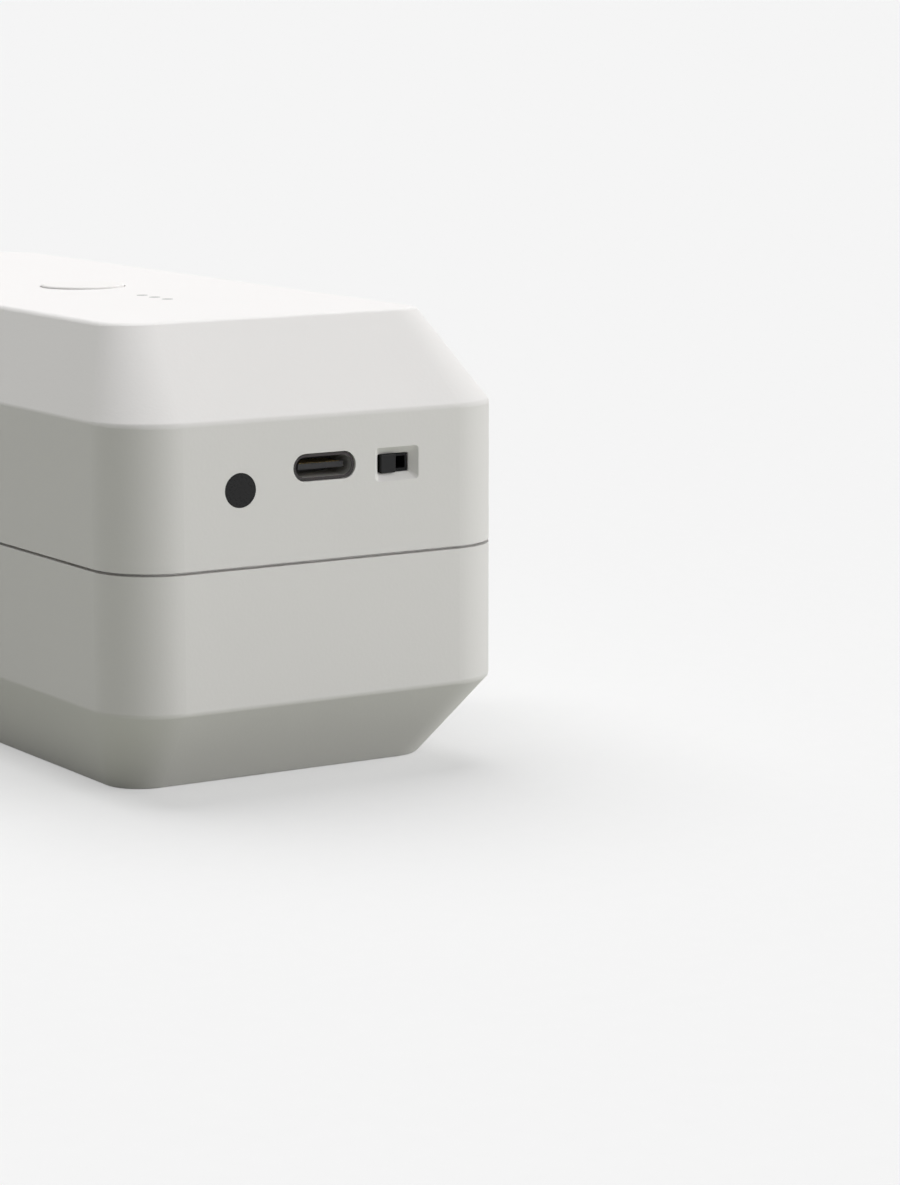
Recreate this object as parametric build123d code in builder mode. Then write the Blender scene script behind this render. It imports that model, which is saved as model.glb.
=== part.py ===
from build123d import *
import math
import os

# Smart curtain motor, in millimetres.
# It lies on its back: +X runs along the rail to the port end, +Y points at the rail, +Z at the button.
# The origin is the middle of the flat back face.

# Body shells
body_length = 146.0
body_width = 58.1
lower_wall = 18.2          # straight wall between the back bevel and the seam
upper_wall = 18.8          # straight wall between the seam and the front bevel
bevel_rise = 11.8
end_inset = 11.7           # how far an end bevel leans in
side_inset = 5.5           # how far a side bevel leans in
corner_radius = 8.5
face_corner_radius = 5.3
edge_round = 0.9
skin = 2.4
seam_gap = 0.4
lip_height = 1.6
lip_skin = 1.1
fit_gap = 0.1              # loose fit between a piece and its hole
turn_gap = 0.05            # running fit of a shaft in its bore
part_gap = 0.3             # air between pieces that move past each other

# Room between the body and what it holds
tray_far_gap = 5.2         # between the far wall and the battery tray
motor_board_gap = 1.85     # between the motor and the port board
cell_side_gap = 0.95       # between the cells and the blank side's wall

# Things on the port end, measured from the seam and from the middle of the end
port_rise = 12.2
port_width = 9.3
port_height = 3.6
shell_depth = 7.4          # length of the metal receptacle shell
shell_metal = 0.3
port_margin = 0.17         # between the receptacle and the wall's opening
mouth_depth = 0.25         # the receptacle's mouth lies this far inside the wall
window_y = -12.4
window_rise = 10.0
window_diameter = 4.5
switch_y = 10.9
switch_rise = 11.8
recess_width = 6.6
recess_height = 4.4
recess_depth = 1.05
recess_slope = 0.95        # how far the recess's four walls lean in
recess_corner = 0.5
knob_width = 2.3
knob_height = 2.5
knob_cap = 0.4             # thickness of the knob's visible cap
knob_depth = 0.5           # from the wall's face down to the cap
knob_travel = 2.0
switch_nose_wall = 0.35    # collar of the switch that fills the recess's floor

# Button and indicator lights, measured from the port end
button_from_end = 67.3
button_diameter = 12.2
button_proud = 0.3
button_travel = 0.5
button_flange = 1.0
lights_from_end = 45.6
light_pitch = 3.7
light_diameter = 1.65
light_count = 3

# Case screws in deep wells
column_end_inset = 16.0    # screw columns from the ends
column_side_inset = 9.55   # screw columns from the long sides
column_tray_gap = 5.1      # middle column from the battery tray
well_radius = 2.7
well_depth = 14.0
column_radius = 4.2
upper_column_radius = 3.2
case_screw_radius = 1.25
case_screw_length = 24.0
case_head_radius = 2.4
case_head_height = 1.6

# Drive wheel
wheel_x = 0.0              # its axis, from the middle of the body's length
tyre_radius = 21.0
tyre_width = 10.0
tyre_thickness = 3.0
wheel_proud = 8.0          # how far the tyre stands out towards the rail
axle_radius = 2.0
wheel_opening_gap = 0.9

# Gear train: motor pinion, two double gears and the wheel gear
gear_module = 0.8
pinion_teeth = 12
large_teeth = 28
wheel_teeth = 24
tooth_addendum = 0.8       # in modules, short teeth
tooth_root = 1.05          # in modules
tooth_backlash = 0.12
gear_face = 4.0
level_step = 4.5
second_gear_heading = -43.0
first_gear_heading = -30.0
motor_heading = -10.0
pin_radius = 1.5
gear_hub_radius = 2.6

# Gearbox frame
plate = 3.0
cover_plate = 2.0
pillar_radius = 2.6
gear_play = 0.5            # above and below the gears
tyre_play = 1.0            # under the tyre
bridge_play = 2.0          # over the tyre
frame_motor_margin = 0.95
frame_rail_gap = 4.15      # between the frame and the rail side's wall
frame_far_margin = 8.0     # frame past the tyre
frame_lead_gap = 4.6       # room for the leads beside the tray
frame_cell_gap = 2.3
frame_margin = 2.8         # screws and pillars from the frame's edges
frame_corner = 2.0
middle_pillar_reach = 16.0
bridge_axle_offset = 2.05
bridge_depth = 13.0
bridge_plate = 2.5
bearing_radius = 4.5
hub_core_radius = 4.6
bearing_boss_radius = 3.6
spoke_count = 6
spoke_hole_radius = 3.4
groove_count = 36
groove_width = 1.2
groove_depth = 0.5

# Motor with its reduction gearhead
motor_radius = 10.0
gearhead_length = 10.0
motor_length = 16.5
motor_shaft_radius = 1.0
shaft_reach = 6.0          # motor shaft inside the gearhead
boss_radius = 3.4

# Hangers that ride in the rail
hanger_x = 35.0            # from the wheel's axis
post_radius = 2.5
post_depth = 21.45         # post and bush inside the body, from its rail side
bush_depth = 9.55
bush_radius = 5.2
bush_flange_radius = 6.6
bush_flange = 1.6
bush_proud = 0.8
seat_radius = 4.8
seat_thickness = 1.2
clip_thickness = 0.6
clip_radius = 3.6
spring_radius = 4.2
spring_wire = 0.6
roller_radius = 4.5
roller_width = 4.0
roller_rise = 14.0         # roller axle above the rail side of the body
roller_axle_radius = 1.0
yoke_width = 5.6
yoke_depth = 4.6
yoke_height = 7.0

# Battery pack
cell_radius = 9.2
cell_length = 65.0
cell_rise = 4.7            # lower cell's axis above the back bevel
cell_pitch = 19.0
nub_radius = 3.0
nub_length = 0.8
tray_half_width = 8.0
tray_foot = 7.6            # tray underside below the lower cell's axis
tray_head = 8.5
tray_end = 2.0
tray_corner = 3.0
contact_metal = 0.4
contact_width = 8.0
wire_radius = 0.6
wire_bend = 2.2
wire_gap = 2.4
wire_offsets = (2.5, 6.3)  # the two leads from the cells' axes

# Circuit boards
board_thickness = 0.8
board_drop = 4.8           # main board below the inside of the front face
board_far_reach = 30.0     # main board past the wheel's axis
boards_apart = 5.0
board_blank_gap = 13.55
board_rail_gap = 8.05
board_screw_x = 4.0
board_screw_y = 3.5
board_screw_radius = 0.95
board_head_radius = 1.9
board_head_height = 1.2
board_boss_radius = 2.6
port_screw_length = 7.0
sensor_depth = 2.6
sensor_width = 3.0
sensor_height = 1.4
port_board_end_gap = 4.0
window_board_margin = 2.2
switch_board_margin = 4.5
port_screw_inset = 2.8
port_screw_side = 3.4
radio_length = 18.0
radio_width = 14.0
radio_inset = 4.0
shield_length = 14.0
shield_width = 12.6
shield_height = 1.6
key_size = 6.0
key_height = 2.5
key_stem = 0.8
key_bore = 1.7
key_bore_depth = 1.4
cable_thickness = 0.25
cable_width = 6.0
cable_y = 6.0
cable_bend = 1.5
cable_reach = 2.0


def reach(x, y, distance, heading):
    """Point at a distance from another, in a heading given in degrees from +X."""
    angle = math.radians(heading)
    return x + distance * math.cos(angle), y + distance * math.sin(angle)


# Gear train, from the wheel back to the motor: pitch radii and reach
wheel_pitch = gear_module * wheel_teeth / 2
large_pitch = gear_module * large_teeth / 2
pinion_pitch = gear_module * pinion_teeth / 2
wheel_tip = wheel_pitch + tooth_addendum * gear_module
second_reach = reach(0.0, 0.0, wheel_pitch + pinion_pitch, second_gear_heading)
first_reach = reach(*second_reach, large_pitch + pinion_pitch, first_gear_heading)
motor_reach = reach(*first_reach, large_pitch + pinion_pitch, motor_heading)

# Heights and places worked out from the sizes above
seam_z = bevel_rise + lower_wall
front_break_z = seam_z + upper_wall
top_z = front_break_z + bevel_rise
ceiling_z = top_z - skin
end_x = body_length / 2
rail_y = body_width / 2
port_z = seam_z + port_rise
window_z = seam_z + window_rise
switch_z = seam_z + switch_rise
button_x = end_x - button_from_end
lights_x = end_x - lights_from_end
wheel_y = rail_y + wheel_proud - tyre_radius
tyre_z = seam_z - tyre_width / 2
board_top_z = ceiling_z - board_drop
board_z = board_top_z - board_thickness
cover_z = tyre_z - tyre_play - cover_plate
gear_z = cover_z - gear_play - 2 * level_step - gear_face
frame_z = gear_z - gear_play - plate
bridge_z = tyre_z + tyre_width + bridge_play
gearhead_z = cover_z + cover_plate
motor_z = gearhead_z + gearhead_length
motor_top_z = motor_z + motor_length
port_outer_width = port_width - 2 * port_margin
port_outer_height = port_height - 2 * port_margin
port_mouth_x = end_x - mouth_depth
slot_width = recess_width - 2 * recess_slope
slot_height = recess_height - 2 * recess_slope
slot_corner = recess_corner / 2
port_board_top_z = port_z - port_outer_height / 2

# Plan of the inside
second_x, second_y = wheel_x + second_reach[0], wheel_y + second_reach[1]
first_x, first_y = wheel_x + first_reach[0], wheel_y + first_reach[1]
motor_x, motor_y = wheel_x + motor_reach[0], wheel_y + motor_reach[1]
tray_length = cell_length + 2 * (contact_metal + tray_end)
tray_far_x = -(end_x - skin - tray_far_gap)
tray_port_x = tray_far_x + tray_length
cell_far_x = tray_far_x + tray_end + contact_metal
cell_port_x = cell_far_x + cell_length
cell_y = -(rail_y - skin - cell_side_gap - cell_radius)
cell_z = bevel_rise + cell_rise
port_board_x = motor_x + motor_radius + motor_board_gap
port_board_low_y = window_y - window_board_margin
port_board_high_y = switch_y + switch_board_margin
port_screws_xy = (
    (port_board_x + port_screw_inset, port_board_low_y + port_screw_side),
    (port_board_x + port_screw_inset, port_board_high_y - port_screw_side),
)
board_far_x = wheel_x - board_far_reach
board_port_x = port_board_x - boards_apart
board_low_y = -(rail_y - board_blank_gap)
board_rail_y = rail_y - board_rail_gap
board_screws_xy = [
    (x, y)
    for x in (board_far_x + board_screw_x, board_port_x - board_screw_x)
    for y in (board_low_y + board_screw_y, board_rail_y - board_screw_y)
]
frame_far_x = wheel_x - tyre_radius - frame_far_margin
frame_step_x = tray_port_x + frame_lead_gap
frame_port_x = port_board_x
frame_back_y = motor_y - motor_radius - frame_motor_margin
frame_step_y = cell_y + cell_radius + frame_cell_gap
frame_rail_y = rail_y - skin - frame_rail_gap
column_x = end_x - column_end_inset
column_y = rail_y - column_side_inset
middle_column = (tray_port_x + column_tray_gap, frame_back_y - column_radius - part_gap)
case_screws_xy = ((-column_x, column_y), (column_x, column_y), (column_x, -column_y), middle_column)
bridge_x = (tyre_radius + hanger_x - bush_radius) / 2
bridge_y = wheel_y - bridge_axle_offset
bridge_pillars_xy = ((wheel_x - bridge_x, bridge_y), (wheel_x + bridge_x, bridge_y))
cover_pillars_xy = (
    (wheel_x - middle_pillar_reach, frame_step_y + frame_margin),
    (frame_step_x + frame_margin, frame_back_y + frame_margin),
    (frame_port_x - frame_margin, frame_back_y + frame_margin),
    (frame_port_x - frame_margin, bridge_y),
)
frame_screws_xy = (
    (frame_far_x + 2 * frame_margin, frame_rail_y - frame_margin),
    (frame_far_x + 2 * frame_margin, frame_step_y + frame_margin),
    (frame_port_x - 3 * frame_margin, frame_rail_y - frame_margin),
    (frame_port_x - frame_margin, motor_y),
)
post_inner_y = rail_y - post_depth
bush_inner_y = rail_y - bush_depth


def along_x(x, y, z):
    """Plane square to the body's length: its own x is +Y and its own y is +Z."""
    return Plane(origin=(x, y, z), x_dir=(0, 1, 0), z_dir=(1, 0, 0))


def along_y(x, y, z):
    """Plane facing the rail: its own x is -X and its own y is +Z."""
    return Plane(origin=(x, y, z), x_dir=(-1, 0, 0), z_dir=(0, 1, 0))


def level(z, x=0.0, y=0.0):
    """Flat plane at height z."""
    return Plane(origin=(x, y, z))


def round_bar(plane, radius, length, mode=Mode.ADD):
    """Round bar that starts on the plane and runs along its normal."""
    with BuildSketch(plane) as section:
        Circle(radius)
    extrude(section.sketch, amount=length, mode=mode)


def ring_bar(plane, radius, bore, length, mode=Mode.ADD):
    """Round bar with a round bore."""
    with BuildSketch(plane) as section:
        Circle(radius)
        Circle(bore, mode=Mode.SUBTRACT)
    extrude(section.sketch, amount=length, mode=mode)


def block(plane, width, height, length, mode=Mode.ADD, corner=0.0):
    """Bar with a rectangular section, centred on the plane's origin."""
    with BuildSketch(plane) as section:
        if corner > 0:
            RectangleRounded(width, height, corner)
        else:
            Rectangle(width, height)
    extrude(section.sketch, amount=length, mode=mode)


def slot_bar(plane, width, height, length, mode=Mode.ADD):
    """Bar with a stadium section."""
    with BuildSketch(plane) as section:
        SlotOverall(width, height)
    extrude(section.sketch, amount=length, mode=mode)


def body_outline(inset):
    """The body's outline between the bevels, drawn in by inset."""
    RectangleRounded(body_length - 2 * inset, body_width - 2 * inset, corner_radius - inset)


def half_form(start_z, break_z, face_z, inset, mode=Mode.ADD):
    """Straight wall from start to break, then the four bevels up or down to the face."""
    end_slope = end_inset / bevel_rise
    side_slope = side_inset / bevel_rise
    face_end = end_inset + inset * (math.sqrt(1 + end_slope**2) - end_slope)
    face_side = side_inset + inset * (math.sqrt(1 + side_slope**2) - side_slope)
    with BuildSketch(level(start_z)) as wall:
        body_outline(inset)
    extrude(wall.sketch, amount=break_z - start_z, mode=mode)
    with BuildSketch(level(break_z)) as near_outline:
        body_outline(inset)
    with BuildSketch(level(face_z)) as face_outline:
        RectangleRounded(
            body_length - 2 * face_end,
            body_width - 2 * face_side,
            max(face_corner_radius - inset / 2, 1.0),
        )
    loft([near_outline.sketch.face(), face_outline.sketch.face()], ruled=True, mode=mode)


def rail_side_openings():
    """Cuts the wheel opening and the two hanger holes out of the rail side."""
    inner_y = rail_y - skin - 1.0
    half_chord = math.sqrt(tyre_radius**2 - (rail_y - skin - wheel_y) ** 2)
    opening_length = 2 * (half_chord + wheel_opening_gap)
    opening_height = tyre_width + 2 * wheel_opening_gap
    opening_plane = along_y(wheel_x, inner_y, seam_z)
    block(opening_plane, opening_length, opening_height, skin + 2, Mode.SUBTRACT, 1.5)
    for side in (-1, 1):
        hanger_plane = along_y(wheel_x + side * hanger_x, inner_y, seam_z)
        round_bar(hanger_plane, bush_radius + fit_gap / 2, skin + 2, Mode.SUBTRACT)


# Upper shell, with the button hole, the light holes and the openings of the port end
with BuildPart() as upper_shell:
    half_form(seam_z + seam_gap / 2, front_break_z, top_z, 0.0)
    for z in (front_break_z, top_z):
        fillet(upper_shell.edges().filter_by_position(Axis.Z, z - 0.01, z + 0.01), edge_round)
    half_form(seam_z + seam_gap / 2, front_break_z - 0.6, ceiling_z, skin, Mode.SUBTRACT)
    with BuildSketch(level(seam_z - lip_height)) as lip:
        body_outline(skin - lip_skin)
        RectangleRounded(
            body_length - 2 * skin, body_width - 2 * skin, corner_radius - skin, mode=Mode.SUBTRACT
        )
    extrude(amount=lip_height + seam_gap)
    for x, y in case_screws_xy:
        column_z = seam_z + seam_gap / 2
        ring_bar(level(column_z, x, y), upper_column_radius, case_screw_radius, ceiling_z + 0.6 - column_z)
    for x, y in board_screws_xy:
        ring_bar(level(board_top_z, x, y), board_boss_radius, board_screw_radius, board_drop + 0.6)
    for x, y in port_screws_xy:
        post_height = ceiling_z + 0.6 - port_board_top_z
        ring_bar(level(port_board_top_z, x, y), board_boss_radius - 0.2, board_screw_radius, post_height)
    rail_side_openings()
    round_bar(level(ceiling_z - 1, button_x, 0), button_diameter / 2, skin + 2, Mode.SUBTRACT)
    for i in range(light_count):
        light_x = lights_x + (i - (light_count - 1) / 2) * light_pitch
        round_bar(level(ceiling_z - 1, light_x, 0), light_diameter / 2, skin + 2, Mode.SUBTRACT)
    slot_bar(along_x(end_x - skin - 1, 0, port_z), port_width, port_height, skin + 2, Mode.SUBTRACT)
    round_bar(along_x(end_x - skin - 1, window_y, window_z), window_diameter / 2, skin + 2, Mode.SUBTRACT)
    with BuildSketch(along_x(end_x, switch_y, switch_z)) as recess_mouth:
        RectangleRounded(recess_width, recess_height, recess_corner)
    with BuildSketch(along_x(end_x - recess_depth, switch_y, switch_z)) as recess_floor:
        RectangleRounded(slot_width, slot_height, slot_corner)
    loft([recess_floor.sketch.face(), recess_mouth.sketch.face()], ruled=True, mode=Mode.SUBTRACT)
    block(
        along_x(end_x - skin - 1, switch_y, switch_z),
        slot_width, slot_height, skin + 1 - recess_depth / 2, Mode.SUBTRACT, slot_corner,
    )
upper_shell.part.label = "upper_shell"
export_step(upper_shell.part, "parts/upper_shell.step")

# Lower shell, with the screw wells, the gearbox bosses and the battery saddles
with BuildPart() as lower_shell:
    half_form(seam_z - seam_gap / 2, bevel_rise, 0.0, 0.0)
    for z in (bevel_rise, 0.0):
        fillet(lower_shell.edges().filter_by_position(Axis.Z, z - 0.01, z + 0.01), edge_round)
    half_form(seam_z - seam_gap / 2, bevel_rise + 0.6, skin, skin, Mode.SUBTRACT)
    with BuildSketch(level(seam_z - lip_height - fit_gap)) as rebate:
        body_outline(skin - lip_skin - fit_gap)
    extrude(amount=lip_height + seam_gap, mode=Mode.SUBTRACT)
    for x, y in case_screws_xy:
        round_bar(level(skin - 0.6, x, y), column_radius, seam_z - seam_gap / 2 - skin + 0.6)
        round_bar(level(-1, x, y), well_radius, well_depth + 1, Mode.SUBTRACT)
        round_bar(level(0, x, y), case_screw_radius + fit_gap, seam_z, Mode.SUBTRACT)
    for x, y in frame_screws_xy:
        ring_bar(level(skin - 0.3, x, y), pillar_radius, board_screw_radius, frame_z - skin + 0.3)
    for x in (tray_far_x + tray_length / 4, tray_port_x - tray_length / 4):
        saddle_z = cell_z - tray_foot
        block(level(skin - 0.3, x, cell_y), 2.0, 2 * tray_half_width - 2, saddle_z - skin + 0.3)
        round_bar(along_x(x - 2, cell_y, cell_z), cell_radius + part_gap, 4, Mode.SUBTRACT)
    rail_side_openings()
    gear_room_z = gear_z + 2 * level_step - part_gap
    round_bar(level(gear_room_z, wheel_x, wheel_y), wheel_tip + part_gap, tyre_z - gear_room_z, Mode.SUBTRACT)
lower_shell.part.label = "lower_shell"
export_step(lower_shell.part, "parts/lower_shell.step")


def machine_screw(x, y, seat_z, head_radius, head_height, shank_radius, length, up):
    """Round-headed screw with a cross recess. The point is above the seat when up is 1, below when -1."""
    head_z = seat_z - up * head_height
    round_bar(level(seat_z, x, y), head_radius, -up * head_height)
    round_bar(level(seat_z, x, y), shank_radius, up * length)
    for width, height in ((head_radius * 1.1, head_radius * 0.25), (head_radius * 0.25, head_radius * 1.1)):
        block(level(head_z, x, y), width, height, up * head_height * 0.6, Mode.SUBTRACT)


with BuildPart() as case_screws:
    for x, y in case_screws_xy:
        machine_screw(
            x, y, well_depth, case_head_radius, case_head_height,
            case_screw_radius - fit_gap, case_screw_length, 1,
        )
case_screws.part.label = "case_screws"
export_step(case_screws.part, "parts/case_screws.step")

# Button: a round cap with a flange under the front face and a stem on the key switch
with BuildPart() as button_cap:
    cap_z = ceiling_z - fit_gap
    round_bar(level(cap_z, button_x, 0), button_diameter / 2 - 2 * fit_gap, top_z + button_proud - cap_z)
    fillet(button_cap.edges().group_by(Axis.Z)[-1], 0.3)
    round_bar(
        level(ceiling_z - fit_gap - button_flange, button_x, 0), button_diameter / 2 + 0.9, button_flange
    )
    stem_z = board_top_z + key_height + key_stem
    round_bar(level(stem_z, button_x, 0), 2.0, ceiling_z - fit_gap - stem_z)
button_cap.part.label = "button_cap"
export_step(button_cap.part, "parts/button_cap.step")

with BuildPart() as key_switch:
    block(level(board_top_z, button_x, 0), key_size, key_size, key_height, corner=0.4)
    bore_z = board_top_z + key_height - key_bore_depth
    round_bar(level(bore_z, button_x, 0), key_bore + turn_gap, key_bore_depth + 1, Mode.SUBTRACT)
key_switch.part.label = "key_switch"
export_step(key_switch.part, "parts/key_switch.step")

with BuildPart() as key_plunger:
    plunger_z = board_top_z + key_height - key_bore_depth + button_travel + fit_gap
    round_bar(level(plunger_z, button_x, 0), key_bore, board_top_z + key_height + key_stem - plunger_z)
key_plunger.part.label = "key_plunger"
export_step(key_plunger.part, "parts/key_plunger.step")

# Clear light guide: three prongs on one bar
with BuildPart() as light_guide:
    block(level(ceiling_z - 1.4, lights_x, 0), (light_count - 1) * light_pitch + 4.0, 4.0, 1.4, corner=0.8)
    for i in range(light_count):
        light_x = lights_x + (i - (light_count - 1) / 2) * light_pitch
        round_bar(level(board_top_z + 1.1, light_x, 0), light_diameter / 2 - 0.03, top_z - board_top_z - 1.1)
light_guide.part.label = "light_guide"
export_step(light_guide.part, "parts/light_guide.step")

# Dark sensor window with its flange behind the wall
with BuildPart() as sensor_window:
    round_bar(along_x(end_x - skin, window_y, window_z), window_diameter / 2 - 0.03, skin)
    round_bar(along_x(end_x - skin - 0.8, window_y, window_z), window_diameter / 2 + 0.9, 0.8)
sensor_window.part.label = "sensor_window"
export_step(sensor_window.part, "parts/sensor_window.step")

# Charging receptacle: folded metal shell, and the tongue with its contacts
with BuildPart() as usb_receptacle:
    slot_bar(along_x(port_mouth_x - shell_depth, 0, port_z), port_outer_width, port_outer_height, shell_depth)
    slot_bar(
        along_x(port_mouth_x - shell_depth + 0.6, 0, port_z),
        port_outer_width - 2 * shell_metal, port_outer_height - 2 * shell_metal, shell_depth, Mode.SUBTRACT,
    )
usb_receptacle.part.label = "usb_receptacle"
export_step(usb_receptacle.part, "parts/usb_receptacle.step")

with BuildPart() as usb_tongue:
    block(along_x(port_mouth_x - shell_depth + 0.6, 0, port_z), 6.7, 0.7, shell_depth - 1.4)
    slot_bar(
        along_x(port_mouth_x - shell_depth + 0.6, 0, port_z),
        port_outer_width - 2 * shell_metal - fit_gap, port_outer_height - 2 * shell_metal - fit_gap, 1.4,
    )
usb_tongue.part.label = "usb_tongue"
export_step(usb_tongue.part, "parts/usb_tongue.step")

# Slide switch: the body on the port board, with a collar that fills the recess's floor, and the knob
knob_y = switch_y - knob_travel / 2
switch_face_x = end_x - skin - 0.4
switch_nose_x = end_x - recess_depth - 0.15
switch_body_top_z = switch_z + knob_height / 2 + 0.8
nose_width = slot_width - 2 * fit_gap
nose_height = slot_height - 2 * fit_gap
track_width = nose_width - 2 * switch_nose_wall
track_height = nose_height - 2 * switch_nose_wall
with BuildPart() as switch_body:
    block(
        Plane(
            origin=(switch_face_x, switch_y, (port_board_top_z + switch_body_top_z) / 2),
            x_dir=(0, 1, 0), z_dir=(-1, 0, 0),
        ),
        8.4, switch_body_top_z - port_board_top_z, 4.6,
    )
    nose_length = switch_nose_x - switch_face_x
    block(along_x(switch_face_x, switch_y, switch_z), nose_width, nose_height, nose_length, corner=0.15)
    block(
        along_x(switch_face_x - 1.6, switch_y, switch_z),
        track_width, track_height, nose_length + 2, Mode.SUBTRACT,
    )
switch_body.part.label = "switch_body"
export_step(switch_body.part, "parts/switch_body.step")

with BuildPart() as switch_knob:
    cap_x = end_x - knob_depth - knob_cap
    block(along_x(cap_x, knob_y, switch_z), knob_width, knob_height, knob_cap, corner=0.2)
    fillet(switch_knob.faces().sort_by(Axis.X)[-1].edges(), 0.15)
    block(
        along_x(switch_face_x - 1.3, knob_y, switch_z),
        track_width - knob_travel - 2 * fit_gap, track_height - 2 * fit_gap, cap_x - switch_face_x + 1.3,
    )
switch_knob.part.label = "switch_knob"
export_step(switch_knob.part, "parts/switch_knob.step")

# Port board with the light sensor, its two screws and the flat cable
port_board_end_x = end_x - port_board_end_gap
port_board_mid_x = (port_board_x + port_board_end_x) / 2
port_board_mid_y = (port_board_low_y + port_board_high_y) / 2
port_board_z = port_board_top_z - board_thickness
with BuildPart() as port_board:
    block(
        level(port_board_z, port_board_mid_x, port_board_mid_y),
        port_board_end_x - port_board_x, port_board_high_y - port_board_low_y, board_thickness, corner=1.0,
    )
    for x, y in port_screws_xy:
        round_bar(level(port_board_z - 1, x, y), board_screw_radius + fit_gap, 3, Mode.SUBTRACT)
port_board.part.label = "port_board"
export_step(port_board.part, "parts/port_board.step")

with BuildPart() as light_sensor:
    sensor_x = port_board_end_x - fit_gap - sensor_depth / 2
    block(level(port_board_top_z, sensor_x, window_y), sensor_depth, sensor_width, sensor_height)
light_sensor.part.label = "light_sensor"
export_step(light_sensor.part, "parts/light_sensor.step")

with BuildPart() as port_board_screws:
    for x, y in port_screws_xy:
        machine_screw(
            x, y, port_board_z, board_head_radius, board_head_height,
            board_screw_radius - turn_gap, port_screw_length, 1,
        )
port_board_screws.part.label = "port_board_screws"
export_step(port_board_screws.part, "parts/port_board_screws.step")

# Main board under the front face
board_mid_x = (board_far_x + board_port_x) / 2
board_mid_y = (board_low_y + board_rail_y) / 2
with BuildPart() as main_board:
    block(
        level(board_z, board_mid_x, board_mid_y),
        board_port_x - board_far_x, board_rail_y - board_low_y, board_thickness, corner=1.5,
    )
    for x, y in board_screws_xy:
        round_bar(level(board_z - 1, x, y), board_screw_radius + fit_gap, 3, Mode.SUBTRACT)
main_board.part.label = "main_board"
export_step(main_board.part, "parts/main_board.step")

with BuildPart() as board_screws:
    for x, y in board_screws_xy:
        machine_screw(
            x, y, board_z, board_head_radius, board_head_height,
            board_screw_radius - turn_gap, board_drop, 1,
        )
board_screws.part.label = "board_screws"
export_step(board_screws.part, "parts/board_screws.step")

with BuildPart() as status_leds:
    for i in range(light_count):
        light_x = lights_x + (i - (light_count - 1) / 2) * light_pitch
        block(level(board_top_z, light_x, 0), 1.6, 1.2, 0.8)
status_leds.part.label = "status_leds"
export_step(status_leds.part, "parts/status_leds.step")

with BuildPart() as radio_module:
    radio_x = board_far_x + radio_inset + radio_length / 2
    radio_y = (board_low_y + board_rail_y) / 2
    shield_x = radio_x + (radio_length - shield_length) / 2 - 0.5
    block(level(board_top_z, radio_x, radio_y), radio_length, radio_width, board_thickness)
    shield_plane = level(board_top_z + board_thickness, shield_x, radio_y)
    block(shield_plane, shield_length, shield_width, shield_height, corner=0.5)
radio_module.part.label = "radio_module"
export_step(radio_module.part, "parts/radio_module.step")

# Flat cable from the underside of the main board to the top of the port board
cable_x = board_port_x + cable_reach
with BuildPart() as flat_cable:
    cable_plane = Plane(origin=(0, cable_y - cable_width / 2, 0), x_dir=(-1, 0, 0), z_dir=(0, 1, 0))
    upper_run = board_z - cable_thickness / 2
    lower_run = port_board_top_z + cable_thickness / 2
    with BuildSketch(cable_plane) as cable_section:
        with BuildLine() as cable_line:
            FilletPolyline(
                (-(board_port_x - cable_reach), upper_run), (-cable_x, upper_run),
                (-cable_x, lower_run), (-(port_board_x + cable_reach), lower_run), radius=cable_bend,
            )
        trace(line_width=cable_thickness)
    extrude(amount=cable_width)
flat_cable.part.label = "flat_cable"
export_step(flat_cable.part, "parts/flat_cable.step")

# Battery pack: two round cells, one over the other, in an open tray
for name, z, nub_side in (("lower_cell", cell_z, 1), ("upper_cell", cell_z + cell_pitch, -1)):
    nub_start = cell_port_x - nub_length if nub_side > 0 else cell_far_x + nub_length
    can_start = cell_far_x if nub_side > 0 else cell_far_x + nub_length
    with BuildPart() as cell:
        round_bar(along_x(can_start, cell_y, z), cell_radius, cell_length - nub_length)
        fillet(cell.edges().filter_by(GeomType.CIRCLE), 0.8)
        round_bar(along_x(nub_start, cell_y, z), nub_radius, nub_side * nub_length)
    cell.part.label = name
    export_step(cell.part, f"parts/{name}.step")

tray_z = cell_z - tray_foot
tray_top_z = cell_z + cell_pitch + tray_head
with BuildPart() as battery_tray:
    block(
        level(tray_z, (tray_far_x + tray_port_x) / 2, cell_y),
        tray_port_x - tray_far_x, 2 * tray_half_width, tray_top_z - tray_z, corner=tray_corner,
    )
    block(
        along_x(cell_far_x - contact_metal, cell_y, cell_z + cell_pitch / 2),
        contact_width + fit_gap, cell_pitch - 2.0 + fit_gap, contact_metal, Mode.SUBTRACT,
    )
    pocket_length = cell_length + 2 * contact_metal
    for z in (cell_z, cell_z + cell_pitch):
        pocket_plane = along_x(cell_far_x - contact_metal, cell_y, z)
        round_bar(pocket_plane, cell_radius + fit_gap, pocket_length, Mode.SUBTRACT)
battery_tray.part.label = "battery_tray"
export_step(battery_tray.part, "parts/battery_tray.step")

with BuildPart() as battery_contacts:
    block(
        along_x(cell_far_x - contact_metal, cell_y, cell_z + cell_pitch / 2),
        contact_width, cell_pitch - 2.0, contact_metal,
    )
    for z in (cell_z, cell_z + cell_pitch):
        block(along_x(cell_far_x - contact_metal, cell_y, z), contact_width, contact_width, contact_metal)
        block(along_x(cell_port_x, cell_y, z), contact_width, contact_width, contact_metal)
battery_contacts.part.label = "battery_contacts"
export_step(battery_contacts.part, "parts/battery_contacts.step")

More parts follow.
